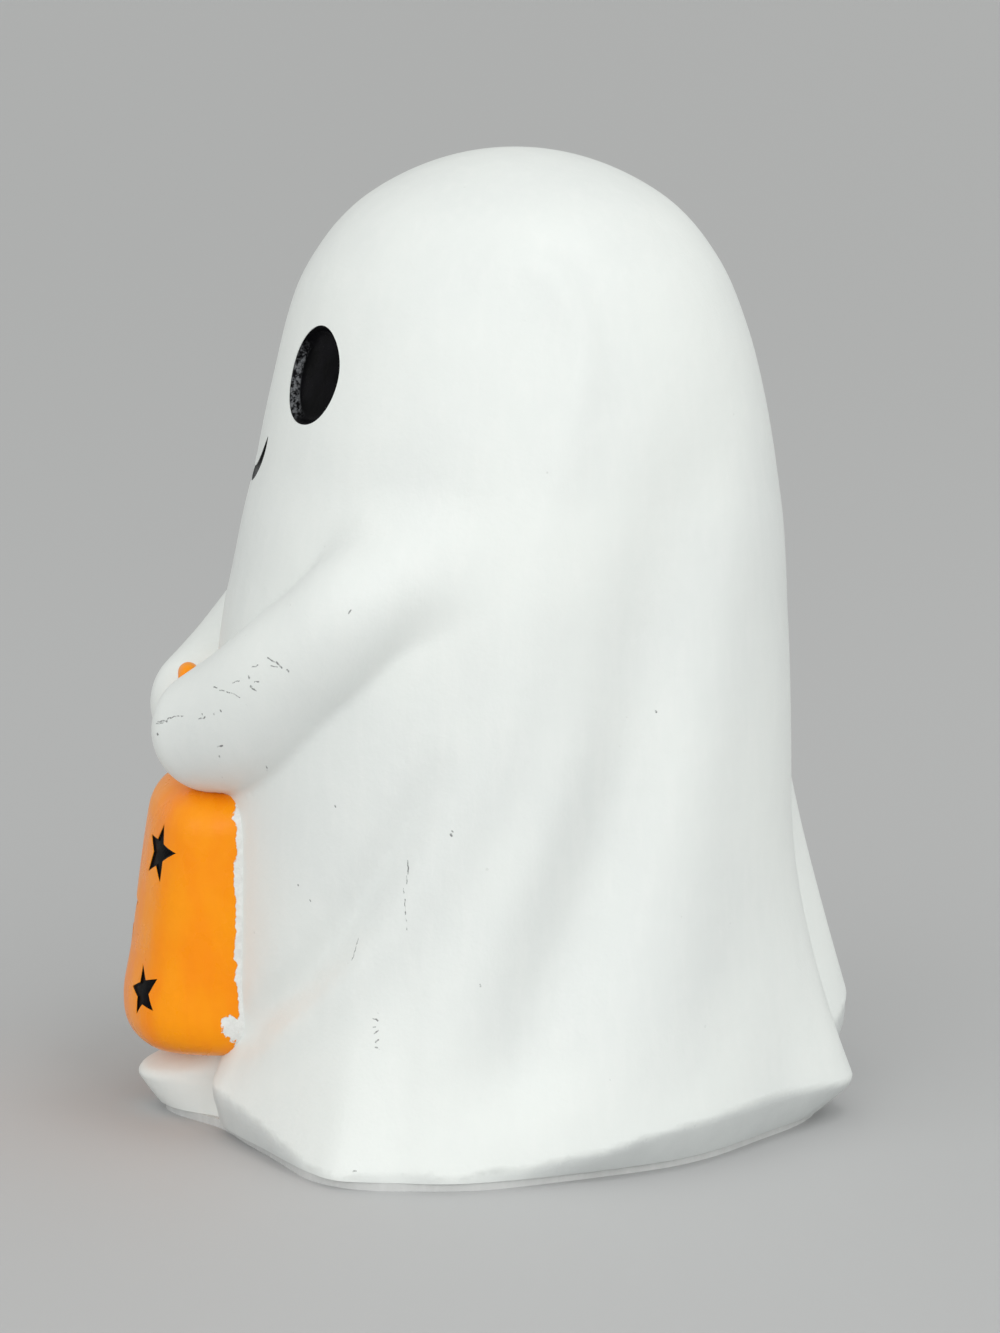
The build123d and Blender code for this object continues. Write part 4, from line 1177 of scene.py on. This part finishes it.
def black_gloss(name, nicks=None):
    m, nt, b = new_material(name)
    g = Graph(nt)
    col = g.mix(g.ramp(g.noise(5.0, 4.0), 0.35, 0.7), (0.0012, 0.0012, 0.0015, 1), (0.0035, 0.0032, 0.0045, 1))
    dust = g.specks(1.9, 0.22, 0.10)
    col = g.mix(g.math("MULTIPLY", dust, 0.12), col, (0.3, 0.3, 0.32, 1))
    shine = g.ramp(g.noise(3.2, 4.0, 0.6), 0.3, 0.7, 0.22, 0.40)
    # painted sheen: lighter grey streaks on the front wall of each eye's hollow
    wall_sheen = g.ramp(g.noise(1.1, 4.0, 0.65), 0.40, 0.62)
    col = g.mix(g.math("MULTIPLY", g.point("wall"), wall_sheen), col, (0.17, 0.175, 0.185, 1))
    if nicks:
        on = g.marks(nicks, 1.0)
        col = g.mix(on, col, (0.75, 0.75, 0.73, 1))
    height = g.math("ADD", g.math("MULTIPLY", g.noise(4.0, 3.0), 0.10), g.math("MULTIPLY", g.noise(0.6, 2.0), 0.004))
    g.put(b.inputs["Base Color"], col)
    g.put(b.inputs["Roughness"], shine)
    g.put(b.inputs["Normal"], g.bump(height))
    b.inputs["IOR"].default_value = 1.5
    b.inputs["Specular IOR Level"].default_value = 0.025
    return m


white = white_glaze("white_glaze_body", BODY_MARKS)
hand_white = white_glaze("white_glaze_left_hand", HAND_MARKS)
plain_white = white_glaze("white_glaze_right_hand")
# unglazed bisque base plate, its grey partly painted shade under the hem
bisque_and_shade = white_glaze("bisque_base_painted_shade", None, (0.60, 0.605, 0.60), (0.52, 0.525, 0.52), (0.6, 0.78))
orange = orange_glaze("orange_glaze_bag")
strap = orange_glaze("orange_glaze_strap", False)
black = black_gloss("black_gloss_paint")
for ob, mat, nodes, slot_name in (
        (body, white, ["body_shell"], "white_glaze"), (left_arm, hand_white, ["left_arm"], "white_glaze"),
        (right_arm, plain_white, ["right_arm"], "white_glaze"), (bag, orange, ["treat_bag"], "orange_glaze"),
        (stars, black, ["bag_stars"], "black_gloss"), (left_eye, black, ["left_eye"], "black_gloss"),
        (right_eye, black, ["right_eye"], "black_gloss"), (mouth, black, ["mouth"], "black_gloss")):
    ob.data.materials.clear()
    ob.data.materials.append(mat)
    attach(ob, "root")
    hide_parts(*nodes)
for name, mat in (("bag_handle", strap), ("base_plate", bisque_and_shade)):
    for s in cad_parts[name].material_slots:
        s.material = mat

# ---------------------------------------------------------------- stage, light, camera
me = bpy.data.meshes.new("floor")
W = 30.0
me.from_pydata([(-W, -W, 0), (W, -W, 0), (W, W, 0), (-W, W, 0)], [], [(0, 1, 2, 3)])
floor = bpy.data.objects.new("floor", me)
bpy.context.scene.collection.objects.link(floor)
m, nt, b = new_material("pale_floor")
b.inputs["Base Color"].default_value = (0.50, 0.50, 0.505, 1)
b.inputs["Roughness"].default_value = 0.7
me.materials.append(m)

world = bpy.data.worlds.new("studio")
world.use_nodes = True
bg = world.node_tree.nodes["Background"]
bg.inputs["Color"].default_value = (0.985, 1.0, 0.98, 1)
# soft light all round, strongest on the camera's side
wt = world.node_tree
aim = wt.nodes.new("ShaderNodeTexCoord").outputs["Generated"]
glow = 0.06
for toward, amount in (((1, 0, 0), 1.22), ((-1, 0, 0), 0.25), ((0, 1, 0), 0.62), ((0, -1, 0), 0.56), ((0, 0, 1), 0.30)):
    dot = wt.nodes.new("ShaderNodeVectorMath")
    dot.operation = "DOT_PRODUCT"
    dot.inputs[1].default_value = toward
    wt.links.new(aim, dot.inputs[0])
    part = wt.nodes.new("ShaderNodeMath")
    part.operation = "MAXIMUM"
    part.inputs[1].default_value = 0.0
    wt.links.new(dot.outputs["Value"], part.inputs[0])
    total = wt.nodes.new("ShaderNodeMath")
    total.operation = "MULTIPLY_ADD"
    wt.links.new(part.outputs[0], total.inputs[0])
    total.inputs[1].default_value = amount
    if isinstance(glow, float):
        total.inputs[2].default_value = glow
    else:
        wt.links.new(glow, total.inputs[2])
    glow = total.outputs[0]
wt.links.new(glow, bg.inputs["Strength"])
bpy.context.scene.world = world


def area_light(name, at, aim, size, power, colour=(1, 1, 1)):
    d = bpy.data.lights.new(name, "AREA")
    d.shape, d.size, d.energy, d.color = "DISK", size, power, colour
    o = bpy.data.objects.new(name, d)
    o.location = at
    o.rotation_mode = "QUATERNION"
    o.rotation_quaternion = (Vector(aim) - Vector(at)).to_track_quat("-Z", "Y")
    bpy.context.scene.collection.objects.link(o)


for name, turn, power in (("key", 105, 1.6), ("side_fill", 65, 1.3), ("front_fill", 25, 0.8)):
    a = math.radians(turn)
    area_light(name, (1.6 * math.sin(a), -1.6 * math.cos(a), 0.68), (0, 0, 0.12), 0.6, power)
area_light("top", (0.42, 0.34, 1.5), (0, 0, 0.15), 0.35, 1.8)

AZ, DIST, CAM_Z, AIM_Z, FOCAL = 85.0, 1.0, 0.275, 0.1065, 4240.0
cam_d = bpy.data.cameras.new("camera")
cam = bpy.data.objects.new("camera", cam_d)
bpy.context.scene.collection.objects.link(cam)
a = math.radians(AZ)
cam.location = (DIST * math.sin(a), -DIST * math.cos(a), CAM_Z)
cam.rotation_mode = "QUATERNION"
cam.rotation_quaternion = (Vector((0, 0, AIM_Z)) - cam.location).to_track_quat("-Z", "Y")
cam_d.sensor_width = 36.0
cam_d.sensor_fit = "AUTO"
cam_d.lens = FOCAL / 1333 * 36.0
cam_d.clip_start, cam_d.clip_end = 0.01, 50
bpy.context.scene.camera = cam
bpy.context.scene.view_settings.view_transform = "Standard"

bpy.context.view_layer.update()
